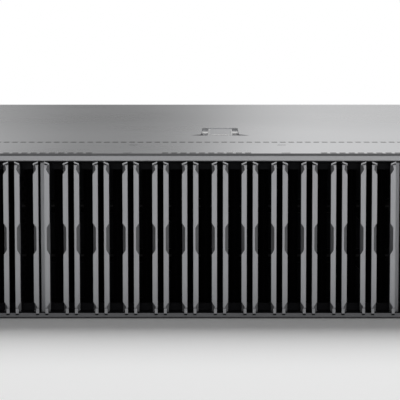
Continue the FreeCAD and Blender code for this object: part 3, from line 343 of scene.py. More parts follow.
@dataclass(frozen=True)
class Finish:
    """A surface finish: numbers that are the same all over, and a method for the rest."""

    label: str
    color: Color
    roughness: float = 0.5
    metallic: float = 0.0
    specular: float = 0.5

    def material(self) -> bpy.types.Material:
        """Make the material, or find it if it is made already.

        Returns:
            The material.
        """
        made = bpy.data.materials.get(self.label)
        if made is not None:
            return made
        made = bpy.data.materials.new(self.label)
        made.use_nodes = True
        graph = Graph(made.node_tree)
        shader = graph.add("ShaderNodeBsdfPrincipled", {}, Roughness=self.roughness,
                           Metallic=self.metallic, Base_Color=self.color,
                           Specular_IOR_Level=self.specular)
        for name, value in self.varied(graph).items():
            graph.tree.links.new(value.link, shader.inputs[name])
        output = self.surface(graph, Socket(graph, shader.outputs[0]))
        graph.add("ShaderNodeOutputMaterial", {}, output)
        return made

    def surface(self, graph: Graph, shader: Socket) -> Socket:
        """The shader that reaches the output."""
        return shader

    def varied(self, graph: Graph) -> Inputs:
        """What changes over the surface: shader input names with their values."""
        return {}

    def tinted(self, graph: Graph, amount: Socket, dark: float, light: float) -> Socket:
        """The colour made darker and lighter by a value.

        Args:
            graph: The material's graph.
            amount: From 0 to 1.
            dark: The factor on the colour at 0.
            light: The factor on the colour at 1.

        Returns:
            The colour.
        """
        low = tuple(part * dark for part in self.color)
        high = tuple(min(part * light, 1.0) for part in self.color)
        return graph.mix(amount, low, high)

    @staticmethod
    def blackened(graph: Graph, inputs: Inputs, mask: Socket, black: Color) -> Inputs:
        """Cover part of a metal surface with matt black, which is black moulding in some
        finishes and painted shade in others.

        Args:
            graph: The material's graph.
            inputs: The shader's inputs under the black.
            mask: One where the black is.
            black: The colour of the black.

        Returns:
            The inputs with the black over them.
        """
        inputs["Base Color"] = graph.mix(mask, inputs["Base Color"], black)
        inputs["Metallic"] = 1.0 - mask
        return inputs


@dataclass(frozen=True)
class Textured(Finish):
    """A textured finish whose numbers, as they stand, are those of moulded plastic."""

    texture: Point = (1400.0, 1400.0, 1400.0)
    texture_detail: float = 2.0
    texture_share: float = 0.3
    clouds: Point = (25.0, 25.0, 25.0)
    cloud_detail: float = 3.0
    tint: Span = (0.85, 1.15)
    wear: Span = (0.05, 0.05)
    relief: float = 0.00004
    relief_strength: float = 0.7

    def varied(self, graph: Graph) -> Inputs:
        """A relief of fine texture, and soft clouds in the colour and the gloss.

        Args:
            graph: The material's graph.

        Returns:
            The varied inputs.
        """
        texture = graph.noise(self.texture, self.texture_detail)
        cloud = graph.noise(self.clouds, self.cloud_detail)
        shade = cloud * (1.0 - self.texture_share) + texture * self.texture_share
        return {"Base Color": self.tinted(graph, shade, *self.tint),
                "Roughness": self.gloss(texture, cloud),
                "Normal": graph.bump(texture, self.relief, self.relief_strength)}

    def gloss(self, texture: Socket, cloud: Socket) -> Socket:
        """The roughness, which follows the clouds."""
        return self.worn(cloud)

    def worn(self, noise: Socket) -> Socket:
        """The roughness, made lower and higher by a noise."""
        smoother, rougher = self.wear
        return noise.ramp(*NOISE_SPAN, self.roughness - smoother, self.roughness + rougher)


@dataclass(frozen=True)
class SatinPaint(Textured):
    """An even satin paint with a faint orange peel and slow changes of sheen."""

    texture: Point = (900.0, 900.0, 900.0)
    texture_detail: float = 1.0
    texture_share: float = 0.0
    clouds: Point = (14.0, 14.0, 14.0)
    tint: Span = (0.94, 1.05)
    wear: Span = (0.03, 0.05)
    relief: float = 0.00002
    relief_strength: float = 0.5


@dataclass(frozen=True)
class MachinedAluminium(Textured):
    """Aluminium with fine straight tool marks."""

    texture: Point = (1200.0, 6.0, 1200.0)
    texture_share: float = 0.5
    clouds: Point = (20.0, 20.0, 20.0)
    cloud_detail: float = 2.0
    tint: Span = (0.9, 1.06)
    wear: Span = (0.05, 0.08)
    relief: float = 0.00002
    relief_strength: float = 0.4

    def gloss(self, texture: Socket, cloud: Socket) -> Socket:
        """The roughness, which follows the tool marks."""
        return self.worn(texture)


@dataclass(frozen=True)
class RolledSteel(Textured):
    """Satin sheet steel with long faint rolling lines and soft blotches."""

    texture: Point = (3.0, 900.0, 900.0)
    texture_detail: float = 3.0
    texture_share: float = 0.5
    clouds: Point = (9.0, 6.0, 9.0)
    tint: Span = (0.93, 1.06)
    wear: Span = (0.01, 0.015)
    relief: float = 0.00002
    relief_strength: float = 0.06
    line_roughness: float = 0.02

    def gloss(self, texture: Socket, cloud: Socket) -> Socket:
        """The roughness, which follows the blotches and a little the lines."""
        return self.worn(cloud) + texture * self.line_roughness


@dataclass(frozen=True)
class CoverSteel(RolledSteel):
    """Rolled steel with painted shade on its cut edges, front edge and slots, and towards
    the rear.
    """

    front: float = 0.0
    half_width: float = 0.2155
    rear: float = 0.32
    lip: float = 0.0008
    lip_shade: float = 0.65
    pan_half_width: float = 0.026
    pan: Span = (-0.172, -0.072)
    pitch: float = 0.00516
    slot: float = 0.00344
    group_pitch: float = 0.089
    group_offset: float = 0.0075
    group_half: float = 0.0258
    seam_row: Span = (-0.2500, -0.2416)
    vent_row: Span = (-0.3520, -0.3450)
    # Painted shade: the colour darkens towards the rear.
    dimming: Span = (-0.2, 0.08)
    rear_shade_share: float = 0.3
    rear_shade_factor: float = 0.4
    upright: Span = (0.2, 0.6)
    rim: float = 0.0005
    facing: Span = (0.5, 0.9)
    # The colour of the painted shade.
    black: Color = (0.01, 0.01, 0.011)

    def varied(self, graph: Graph) -> Inputs:
        """Rolling lines, with painted shade darker to the rear and on the slots and edges.

        Args:
            graph: The material's graph.

        Returns:
            The varied inputs.
        """
        inputs = super().varied(graph)
        x, y, _ = graph.axes(graph.place())
        # Painted shade on the cut edges, the front edge and the slots.
        shade = self.edges(graph, x, y).greatest(self.front_lip(graph, y))
        shade = shade.greatest(self.slots(x, y))
        # Painted shade: darker towards the rear.
        dimmed = tuple(part * self.rear_shade_factor for part in self.color)
        rear_shade_amount = y.ramp(*self.dimming, 0.0, self.rear_shade_share)
        inputs["Base Color"] = graph.mix(rear_shade_amount, inputs["Base Color"], dimmed)
        return self.blackened(graph, inputs, shade, self.black)

    def edges(self, graph: Graph, x: Socket, y: Socket) -> Socket:
        """One where painted shade lies on the upright cut edges, but not at the rim or in
        the latch's pan.

        Args:
            graph: The material's graph.
            x: The place across.
            y: The place along.

        Returns:
            The mask.
        """
        _, _, upward = graph.tilt()
        upright = abs(upward).ramp(*self.upright, 1.0, 0.0)
        inside = abs(x).ramp(self.half_width - self.rim, self.half_width, 1.0, 0.0)
        outside_pan = 1.0 - (abs(x) < self.pan_half_width) * y.between(*self.pan)
        return upright * inside * y.between(self.front + self.lip, self.rear) * outside_pan

    def front_lip(self, graph: Graph, y: Socket) -> Socket:
        """The painted shade on the cover's front edge."""
        at_front = y < self.front + self.lip
        return graph.facing_front(*self.facing) * at_front * self.lip_shade

    def slots(self, x: Socket, y: Socket) -> Socket:
        """One where painted shade lies over and beside the slots, in the full row at the
        seam and in the groups of ten at the front.

        Args:
            x: The place across.
            y: The place along.

        Returns:
            The mask.
        """
        half = self.group_pitch / 2
        in_group = (x + self.group_offset + half).repeat(self.group_pitch) - half
        seam = self._dash(x) * y.between(*self.seam_row)
        vents = self._dash(in_group) * y.between(*self.vent_row) \
            * (abs(in_group) < self.group_half) * (abs(x) < self.half_width)
        return seam + vents

    def _dash(self, along: Socket) -> Socket:
        """One where a slot of the row is."""
        return abs(along.repeat(self.pitch) - self.pitch / 2) < self.slot / 2


@dataclass(frozen=True)
class GalvanisedSteel(Finish):
    """Zinc-coated steel with its crystal spangle."""

    spangles: Point = (130.0, 130.0, 130.0)
    spangle_share: float = 0.6
    clouds: Point = (12.0, 12.0, 12.0)
    tint: Span = (0.86, 1.08)
    wear: Span = (0.06, 0.08)

    def varied(self, graph: Graph) -> Inputs:
        """Spangles of slightly different brightness.

        Args:
            graph: The material's graph.

        Returns:
            The varied inputs.
        """
        cells = graph.cells(self.spangles, "Color")
        tone, _, _ = graph.axes(cells)
        cloud = graph.noise(self.clouds)
        shade = tone * self.spangle_share + cloud * (1.0 - self.spangle_share)
        smoother, rougher = self.wear
        return {"Base Color": self.tinted(graph, shade, *self.tint),
                "Roughness": tone.ramp(0.0, 1.0, self.roughness - smoother,
                                       self.roughness + rougher)}


@dataclass(frozen=True)
class SupplySteel(GalvanisedSteel):
    """The case of a supply, with a black moulded inlet and its three blades."""

    centre: Point = (0.0, 0.0, 0.0)
    half_width: float = 0.0123
    half_height: float = 0.0086
    skin: float = 0.0001
    depth: float = 0.0172
    blade_pitch: float = 0.007
    blade_lift: float = 0.002
    half_blade: Span = (0.00112, 0.0021)
    black: Color = (0.012, 0.012, 0.013)

    def varied(self, graph: Graph) -> Inputs:
        """Zinc outside, black moulding in the inlet, bare metal on the blades.

        Args:
            graph: The material's graph.

        Returns:
            The varied inputs.
        """
        x, y, z = graph.axes(graph.place())
        across, deep, up = x - self.centre[0], self.centre[1] - y, z - self.centre[2]
        recess = (abs(across) < self.half_width) * (abs(up) < self.half_height) \
            * deep.between(self.skin, self.depth)
        half_wide, half_tall = self.half_blade
        outer = (abs(abs(across) - self.blade_pitch) < half_wide) \
            * (abs(up + self.blade_lift) < half_tall)
        middle = (abs(across) < half_wide) * (abs(up - self.blade_lift) < half_tall)
        return self.blackened(graph, super().varied(graph),
                              recess * (1.0 - (outer + middle)), self.black)


@dataclass(frozen=True)
class CageSteel(GalvanisedSteel):
    """Zinc-coated steel whose front edges are black as painted shade."""

    front: float = -0.33
    fade: float = 0.002
    black: Color = (0.006, 0.006, 0.007)

    def varied(self, graph: Graph) -> Inputs:
        """Spangles behind, and black as painted shade at the front.

        Args:
            graph: The material's graph.

        Returns:
            The varied inputs.
        """
        _, y, _ = graph.axes(graph.place())
        # Painted shade: black on the cage's front edges.
        return self.blackened(graph, super().varied(graph),
                              y.ramp(self.front, self.front + self.fade, 1.0, 0.0),
                              self.black)


@dataclass(frozen=True)
class FinPaint(Finish):
    """Metallic paint on the faces that look forward, over a black moulding that also stands
    as painted shade where faces lie back or turn aside.
    """

    front: float = 0.0
    # The black of the moulding, also used as painted shade on faces set back or turned
    # aside.
    body: Color = (0.006, 0.006, 0.008)
    body_roughness: float = 0.62
    reach: float = 0.0054
    # Painted shade: the paint darkens from this height down to the bottom.
    height: float = 0.08
    facing: Span = (0.15, 0.9)
    flake: Point = (2600.0, 2600.0, 2600.0)
    flake_detail: float = 1.0
    flake_share: float = 0.4
    flake_roughness: float = 0.05
    clouds: Point = (30.0, 30.0, 12.0)
    cloud_share: float = 0.3
    tint: Span = (0.76, 1.08)
    relief: float = 0.00001
    relief_strength: float = 0.3

    def varied(self, graph: Graph) -> Inputs:
        """Paint by the way the surface faces and how far back it lies, with fine flakes in
        it, and painted shade darker towards the bottom.

        Args:
            graph: The material's graph.

        Returns:
            The varied inputs.
        """
        _, y, z = graph.axes(graph.place())
        # Painted shade: faces more than the reach behind the front, or turned partly aside,
        # keep the black instead of paint.
        painted = graph.facing_front(*self.facing) * (y - self.front < self.reach)
        flakes = graph.noise(self.flake, self.flake_detail)
        cloud = graph.noise(self.clouds)
        # Painted shade: part of the tone darkens towards the bottom.
        low_shade_share = 1.0 - self.flake_share - self.cloud_share
        shade = flakes * self.flake_share + cloud * self.cloud_share \
            + z.ramp_linear(0.0, self.height) * low_shade_share
        paint = self.tinted(graph, shade, *self.tint)
        return {"Base Color": graph.mix(painted, self.body, paint),
                "Metallic": painted * self.metallic,
                "Roughness": painted.ramp(0.0, 1.0, self.body_roughness, self.roughness)
                + flakes * self.flake_roughness,
                "Normal": graph.bump(flakes, self.relief, self.relief_strength)}


@dataclass(frozen=True)
class FramePaint(SatinPaint):
    """Paint on the outside of the bezel's frame, with black as painted shade on the faces
    inside it and under its lip.
    """

    middle: float = 0.0434
    rail_top: float = 0.0045
    rail_fade: float = 0.0004
    # Painted shade: the paint is darker on the lower rail.
    rail_shade: float = 0.74
    lip_floor: float = 0.0854
    lip_fade: float = 0.0003
    inward: Span = (0.05, 0.2)
    facing: Span = (0.5, 0.9)
    # The black of the painted shade inside the frame.
    black: Color = (0.006, 0.006, 0.007)

    def varied(self, graph: Graph) -> Inputs:
        """Painted shade: black on the faces that look inwards and under the lip, and a
        darker lower rail.

        Args:
            graph: The material's graph.

        Returns:
            The varied inputs.
        """
        inputs = super().varied(graph)
        _, _, z = graph.axes(graph.place())
        _, _, upward = graph.tilt()
        upper = z > self.middle
        inward = (upper * -upward + (1.0 - upper) * upward).ramp(*self.inward)
        under_lip = upper * z.ramp(self.lip_floor - self.lip_fade, self.lip_floor, 1.0, 0.0)
        # Painted shade: black on the faces that look into the frame and on the front face
        # under the top lip.
        bare = inward.greatest(under_lip * graph.facing_front(*self.facing))
        # Painted shade: the lower rail's paint is darkened.
        rail = z.ramp(self.rail_top - self.rail_fade, self.rail_top, self.rail_shade, 1.0)
        paint = graph.mix(rail, (0.0, 0.0, 0.0), inputs["Base Color"])
        inputs["Base Color"] = graph.mix(bare, paint, self.black)
        inputs["Metallic"] = (1.0 - bare) * self.metallic
        return inputs


@dataclass(frozen=True)
class PerforatedPlastic(Textured):
    """Dark plastic with a field of round air holes in its front faces, drawn as painted
    shade.
    """

    pitch: float = 0.0034
    row_share: float = 0.87
    hole: float = 0.0012
    rim: float = 0.85
    facing: Span = (0.7, 0.9)
    # The near-black of the holes, a painted shade.
    depth: Color = (0.001, 0.001, 0.001)

    def varied(self, graph: Graph) -> Inputs:
        """Staggered holes drawn as near-black spots, painted shade for their depth.

        Args:
            graph: The material's graph.

        Returns:
            The varied inputs.
        """
        inputs = super().varied(graph)
        x, _, z = graph.axes(graph.place())
        rise = self.pitch * self.row_share
        odd_row = z.repeat(2 * rise) > rise
        across = (x + odd_row * (self.pitch / 2)).repeat(self.pitch) - self.pitch / 2
        height = z.repeat(rise) - rise / 2
        away = (across * across + height * height).root()
        holes = away.ramp(self.hole * self.rim, self.hole, 1.0, 0.0) \
            * graph.facing_front(*self.facing)
        # Painted shade: the holes darken the colour.
        inputs["Base Color"] = graph.mix(holes, inputs["Base Color"], self.depth)
        return inputs


@dataclass(frozen=True)
class CircuitBoard(Finish):
    """Solder mask over copper tracks, with tinned pads."""

    track: Color = (0.016, 0.105, 0.055)
    pad: Color = (0.62, 0.6, 0.52)
    bend: Point = (22.0, 22.0, 22.0)
    bend_detail: float = 1.0
    slant: Point = (1.0, 0.35, 0.6)
    sway: float = 0.02
    group: Span = (0.35, 0.6)
    track_pitch: float = 0.0016
    half_track: Span = (0.0002, 0.00035)
    pads: Point = (210.0, 210.0, 210.0)
    pad_edge: Span = (0.10, 0.14)
    pad_metal: float = 0.9
    pad_roughness: float = 0.3
    relief: float = 0.00005
    relief_strength: float = 0.6

    def varied(self, graph: Graph) -> Inputs:
        """Tracks that run in groups, and dots where the pads are.

        Args:
            graph: The material's graph.

        Returns:
            The varied inputs.
        """
        bends = graph.noise(self.bend, self.bend_detail)
        places = graph.axes(graph.place())
        x, y, z = (place * share for place, share in zip(places, self.slant))
        run = (x + y + z + bends * self.sway).repeat(self.track_pitch)
        tracks = abs(run - self.track_pitch / 2).ramp(*self.half_track, 1.0, 0.0) \
            * bends.ramp(*self.group)
        pads = graph.cells(self.pads, "Distance").ramp(*self.pad_edge, 1.0, 0.0)
        masked = graph.mix(tracks, self.color, self.track)
        return {"Base Color": graph.mix(pads, masked, self.pad),
                "Metallic": pads * self.pad_metal,
                "Roughness": pads.ramp(0.0, 1.0, self.roughness, self.pad_roughness),
                "Normal": graph.bump(tracks + pads, self.relief, self.relief_strength)}


@dataclass(frozen=True)
class DiskCasting(MachinedAluminium):
    """Cast aluminium with black as painted shade on the end that faces the air slots."""

    facing: Span = (0.4, 0.7)
    black: Color = (0.004, 0.004, 0.005)

    def varied(self, graph: Graph) -> Inputs:
        """Tool marks, and black as painted shade on the faces that look forward."""
        # Painted shade: black on the forward faces.
        return self.blackened(graph, super().varied(graph),
                              graph.facing_front(*self.facing), self.black)


@dataclass(frozen=True)
class StudioPaper(Finish):
    """Matt studio paper that fades into the white room far from the object."""

    clouds: Point = (3.0, 3.0, 3.0)
    tint: Span = (0.99, 1.01)
    fade: Span = (1.4, 2.5)

    def varied(self, graph: Graph) -> Inputs:
        """A very faint change of tone."""
        return {"Base Color": self.tinted(graph, graph.noise(self.clouds), *self.tint)}

    def surface(self, graph: Graph, shader: Socket) -> Socket:
        """The paper, mixed with plain white by the distance from the object.

        Args:
            graph: The material's graph.
            shader: The paper itself.

        Returns:
            The mixed shader.
        """
        away = graph.node("ShaderNodeVectorMath", {"operation": "LENGTH"}, graph.place())
        white = graph.node("ShaderNodeEmission", {}, Color=(1.0, 1.0, 1.0), Strength=1.0)
        return graph.node("ShaderNodeMixShader", {},
                          away.ramp(*self.fade) * graph.seen_directly(), shader, white)


ZINC = (0.52, 0.53, 0.55)
SOOT = (0.012, 0.012, 0.013)

COVER = CoverSteel("cover steel", (0.58, 0.585, 0.6), roughness=0.27, metallic=1.0,
                   front=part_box("front_top_cover")[0].y)
SHELL = GalvanisedSteel("zinc steel", ZINC, roughness=0.42, metallic=1.0)
CAGE = CageSteel("cage steel", ZINC, roughness=0.42, metallic=1.0)
FRAME_PAINT = FramePaint("bezel paint", (0.24, 0.242, 0.252), roughness=0.5, metallic=0.1,
                         specular=0.15)
FINS = FinPaint("fin paint", (0.44, 0.445, 0.462), roughness=0.36, metallic=0.55,
                specular=0.2, front=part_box("bezel_fins")[0].y)
CAPS = SatinPaint("end cap paint", (0.2, 0.202, 0.21), roughness=0.42, metallic=0.4)
LEVER = SatinPaint("latch lever", (0.42, 0.425, 0.44), roughness=0.3, metallic=0.8)
BLACK = Textured("black moulding", SOOT, roughness=0.6)
INNER = Textured("inner black moulding", (0.005, 0.005, 0.006), roughness=0.7,
                 specular=0.08)
CARRIER = PerforatedPlastic("carrier moulding", SOOT, roughness=0.6, specular=0.1)
TOUCH = Textured("touch point blue", (0.05, 0.1, 0.2), roughness=0.42)
DARK = Textured("dark grey moulding", (0.02, 0.021, 0.024), roughness=0.55, specular=0.1)
GLOSSY = Textured("button cap", (0.1, 0.1, 0.11), roughness=0.22, relief=0.00001)
LENS = Textured("light pipe", (0.02, 0.022, 0.022), roughness=0.25, specular=0.2,
                relief=0.000005)
CHIP = Textured("chip package", (0.018, 0.018, 0.02), roughness=0.45,
                texture=(3000.0, 3000.0, 3000.0))
BOARD = CircuitBoard("circuit board", (0.008, 0.055, 0.03), roughness=0.35)
DISK = DiskCasting("disk casting", (0.66, 0.67, 0.69), roughness=0.35, metallic=1.0,
                   specular=0.1)
ALUMINIUM = MachinedAluminium("drive aluminium", (0.72, 0.73, 0.75), roughness=0.3,
                              metallic=1.0)
PLATED = MachinedAluminium("bright plating", (0.72, 0.72, 0.72), roughness=0.2,
                           metallic=1.0)
GOLD = MachinedAluminium("gold contacts", (0.85, 0.6, 0.22), roughness=0.25, metallic=1.0)
PAPER = StudioPaper("studio floor", (0.93, 0.93, 0.93), roughness=0.75, specular=0.2)


# ---------------------------------------------------------------- meshes

HEXAGON = 6


class Axis(Enum):
    """The axes of the common frame."""

    ACROSS = 0
    ALONG = 1
    UP = 2


def attach(name: str, data: bpy.types.ID, finish: Finish, body: str) -> None:
    """Make a piece of the object from its mesh or curve.

    Args:
        name: The piece's name.
        data: Its mesh or curve.
        finish: Its finish.
        body: The body it rides on.
    """
    data.materials.append(finish.material())
    piece = bpy.data.objects.new(name, data)
    bpy.context.collection.objects.link(piece)
    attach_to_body(piece, body)
    log.info("%s rides on %s", name, body)


class Shape:
    """A mesh under construction, made of simple closed forms with softened edges."""

    bevel_steps = 2
    bevel_profile = 0.6

    def __init__(self, name: str) -> None:
        """Start an empty mesh for the piece of this name."""
        self.name = name
        self.mesh = bmesh.new()

    def block(self, low: Point, high: Point, soften: float) -> None:
        """Add a box with bevelled edges.

        Args:
            low: Its lowest corner.
            high: Its highest corner.
            soften: The bevel's width.
        """
        made = bmesh.ops.create_cube(self.mesh, size=1.0)["verts"]
        for vertex in made:
            for axis in range(3):
                middle = (low[axis] + high[axis]) / 2
                vertex.co[axis] = middle + vertex.co[axis] * (high[axis] - low[axis])
        edges = {edge for vertex in made for edge in vertex.link_edges}
        bmesh.ops.bevel(self.mesh, geom=list(edges), offset=soften, affect="EDGES",
                        segments=self.bevel_steps, profile=self.bevel_profile)

    def prism(self, outline: Sequence[Span], front: float, rear: float) -> None:
        """Add a plate whose outline is drawn in the front view.

        Args:
            outline: Its corners as pairs of width and height.
            front: Where its front face lies.
            rear: Where its rear face lies.
        """
        faces = [[self.mesh.verts.new((x, y, z)) for x, z in outline]
                 for y in (front, rear)]
        for face in faces:
            self.mesh.faces.new(face)
        self._join(*faces)

    def turned(self, centre: Point, axis: Axis, profile: Profile, sides: int) -> None:
        """Add a turned form.

        Args:
            centre: The point that the profile starts from.
            axis: The axis it is turned about.
            profile: Pairs of radius and distance along the axis.
            sides: How many steps go round.
        """
        across, up = [index for index in range(3) if index != axis.value]
        rings = []
        for radius, along in profile:
            ring = []
            for step in range(sides):
                angle = 2 * math.pi * step / sides
                spot = list(centre)
                spot[across] += radius * math.cos(angle)
                spot[up] += radius * math.sin(angle)
                spot[axis.value] += along
                ring.append(self.mesh.verts.new(spot))
            rings.append(ring)
        for first, second in zip(rings, rings[1:]):
            self._join(first, second)
        self.mesh.faces.new(list(reversed(rings[0])))
        self.mesh.faces.new(rings[-1])

    def _join(self, first: Ring, second: Ring) -> None:
        """Add the faces between two rings.

        Args:
            first: The corners of one ring.
            second: The corners of the other, as many.
        """
        for step in range(len(first)):
            follower = (step + 1) % len(first)
            self.mesh.faces.new((first[step], first[follower], second[follower],
                                 second[step]))

    def finish(self, finish: Finish, body: str, slot: str, smooth: bool = False) -> None:
        """Turn the mesh into a piece of the object.

        Args:
            finish: Its finish.
            body: The body it rides on.
            slot: Not used.
            smooth: Whether it is shaded smoothly.
        """
        bmesh.ops.recalc_face_normals(self.mesh, faces=self.mesh.faces)
        data = bpy.data.meshes.new(self.name)
        self.mesh.to_mesh(data)
        self.mesh.free()
        for polygon in data.polygons:
            polygon.use_smooth = smooth
        attach(self.name, data, finish, body)


def dress(finish: Finish, *nodes: str) -> None:
    """Give nodes of the frame a finish.

    Args:
        finish: The finish.
        nodes: The nodes' names.
    """
    for name in nodes:
        for slot in frame["nodes"][name].material_slots:
            slot.material = finish.material()
        log.info("%s is finished as %s", name, finish.label)


def opening(name: str) -> Corners:
    """The lowest and highest corners of an opening that the record states.

    Args:
        name: The opening's name in the record.

    Returns:
        The two corners.
    """
    boxes = {stated["name"]: stated["box_m"]
             for stated in frame["record"]["physics"]["openings"]}
    low, high = boxes[name]
    return Vector(low), Vector(high)


def middle_of(corners: Corners) -> Vector:
    """The middle of a box given by its corners."""
    return (corners[0] + corners[1]) / 2


def spread(count: int, pitch: float) -> list[float]:
    """Evenly pitched places on both sides of nought."""
    return [(index - (count - 1) / 2) * pitch for index in range(count)]


# ---------------------------------------------------------------- sub-assemblies

@dataclass
class Covers:
    """The three top covers and the latch."""

    rib_count: int = 4
    rib_pitch: float = 0.0022
    rib_width: float = 0.0008
    rib_rise: float = 0.00025
    rib_margin: float = 0.0025
    edge_width: float = 0.0008
    edge_inset: float = 0.0001
    edge_margins: Span = (0.001, 0.006)
    soften: float = 0.0001

    def build(self) -> None:
        """Finish the covers and the latch's lever, and add the lever's grip."""
        dress(COVER, "front_top_cover", "top_cover", "rear_top_strip")
        dress(LEVER, "cover_latch")
        dress(PLATED, "latch_pin")
        self.grip()

    def grip(self) -> None:
        """Low ribs across the lever's free end, and a raised edge on each side."""
        low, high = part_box("cover_latch")
        floor, roof = high.z - self.rib_rise, high.z + self.rib_rise
        shape = Shape("latch_grip")
        for index in range(self.rib_count):
            start = low.y + self.rib_margin + index * self.rib_pitch
            shape.block((low.x + self.rib_margin, start, floor),
                        (high.x - self.rib_margin, start + self.rib_width, roof),
                        self.soften)
        outer = high.x - self.edge_inset
        front, rear = self.edge_margins
        for side in (-1, 1):
            left, right = sorted((side * (outer - self.edge_width), side * outer))
            shape.block((left, low.y + front, floor), (right, high.y - rear, roof),
                        self.soften)
        shape.finish(PLATED, "cover_latch", "cover_latch")


@dataclass
class Bezel:
    """The finned bezel with its end caps, lock and release, and the fins' curled ends."""

    pairs: int = 27
    pitch: float = 0.016
    half_gap: float = 0.00165
    fin: float = 0.0027
    proud: float = 0.0003
    depth: float = 0.0016
    hook_rise: float = 0.0010
    hook_drop: float = 0.0011
    hook_gauge: float = 0.0008
    toe: float = 0.0028
    toe_drop: float = 0.0003
    toe_share: float = 0.62
    # The height of the black block under each toe, a painted shade.
    socket: float = 0.0008
    soften: float = 0.0002

    def build(self) -> None:
        """Finish the bezel's pieces and add the fins' ends."""
        dress(FRAME_PAINT, "bezel_frame")
        dress(FINS, "bezel_fins")
        dress(INNER, "bezel_grille")
        dress(CAPS, "bezel_end_left", "bezel_end_right")
        dress(PLATED, "bezel_lock")
        dress(GLOSSY, "bezel_release")
        self.fin_ends()

    def fins(self) -> Iterable[Span]:
        """Find every fin, from left to right.

        Returns:
            The inner and outer edge of each.
        """
        for middle in spread(self.pairs, self.pitch):
            for side in (-1, 1):
                inner = middle + side * self.half_gap
                yield inner, inner + side * self.fin

    def fin_ends(self) -> None:
        """A slanted hook over each fin, and a toe with a black block under it as painted
        shade.
        """
        low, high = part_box("bezel_fins")
        front = low.y - self.proud
        rear = front + self.depth
        top, toe_end = high.z + self.hook_rise, low.z - self.toe_drop
        painted, black = Shape("fin_hooks"), Shape("fin_toe_shadows")
        for inner, outer in self.fins():
            painted.prism([(inner, top), (inner, top - self.hook_gauge),
                           (outer, top - self.hook_drop - self.hook_gauge),
                           (outer, top - self.hook_drop)], front, rear)
            start, end = sorted((inner, inner + (outer - inner) * self.toe_share))
            painted.block((start, front, toe_end), (end, rear, toe_end + self.toe),
                          self.soften)
            # Painted shade: a black block under each toe.
            black.block((start, front, toe_end - self.socket), (end, rear, toe_end),
                        self.soften)
        painted.finish(FINS, "bezel", "bezel_fins")
        black.finish(INNER, "bezel", "bezel_fins")


@dataclass
class Chassis:
    """The tray, ears, rear panel and what is fixed to them."""

    light_count: int = 3
    light_pitch: float = 0.004
    light_height: float = 0.004
    light_root: float = 0.0004
    light_profile: Profile = ((0.0011, 0.0), (0.0011, -0.0008), (0.00066, -0.0012))
    light_sides: int = 20
    socket_radius: float = 0.0012
    socket_root: float = 0.0003
    socket_end: float = 0.00005
    screw_setbacks: Span = (0.017, 0.047)
    screw_heights: Span = (0.0217, 0.0521)

    def build(self) -> None:
        """Finish the shell, and add the panel's lights and the screws' sockets."""
        dress(SHELL, "chassis_tray", "rear_panel", "ear_left", "ear_right", "slot_covers",
              "supply_cage", "fan_cage")
        dress(CAGE, "drive_cage")
        dress(PLATED, "rail_studs", "screws")
        dress(BLACK, "control_panel")
        dress(GLOSSY, "power_button", "id_button")
        self.panel_lights()
        self.screw_sockets()

    def panel_lights(self) -> None:
        """Three small light pipes below the buttons."""
        low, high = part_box("control_panel")
        shape = Shape("panel_lights")
        for place in spread(self.light_count, self.light_pitch):
            centre = (middle_of((low, high)).x + place, low.y + self.light_root,
                      low.z + self.light_height)
            shape.turned(centre, Axis.ALONG, self.light_profile, self.light_sides)
        shape.finish(LENS, "chassis", "control_panel", smooth=True)

    def screw_sockets(self) -> None:
        """Black hexagons on the screws' heads on the rack ears, painted shade for their
        socket recesses.
        """
        low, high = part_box("screws")
        shape = Shape("screw_sockets")
        for side, face, ear in ((-1, low.x, "ear_left"), (1, high.x, "ear_right")):
            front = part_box(ear)[0].y
            run = side * (self.socket_root + self.socket_end)
            for setback in self.screw_setbacks:
                for height in self.screw_heights:
                    # Painted shade: a thin black hexagon stands for each socket's recess.
                    shape.turned((face - side * self.socket_root, front + setback, height),
                                 Axis.ACROSS,
                                 ((self.socket_radius, 0.0), (self.socket_radius, run)),
                                 HEXAGON)
        shape.finish(BLACK, "chassis", "screws")


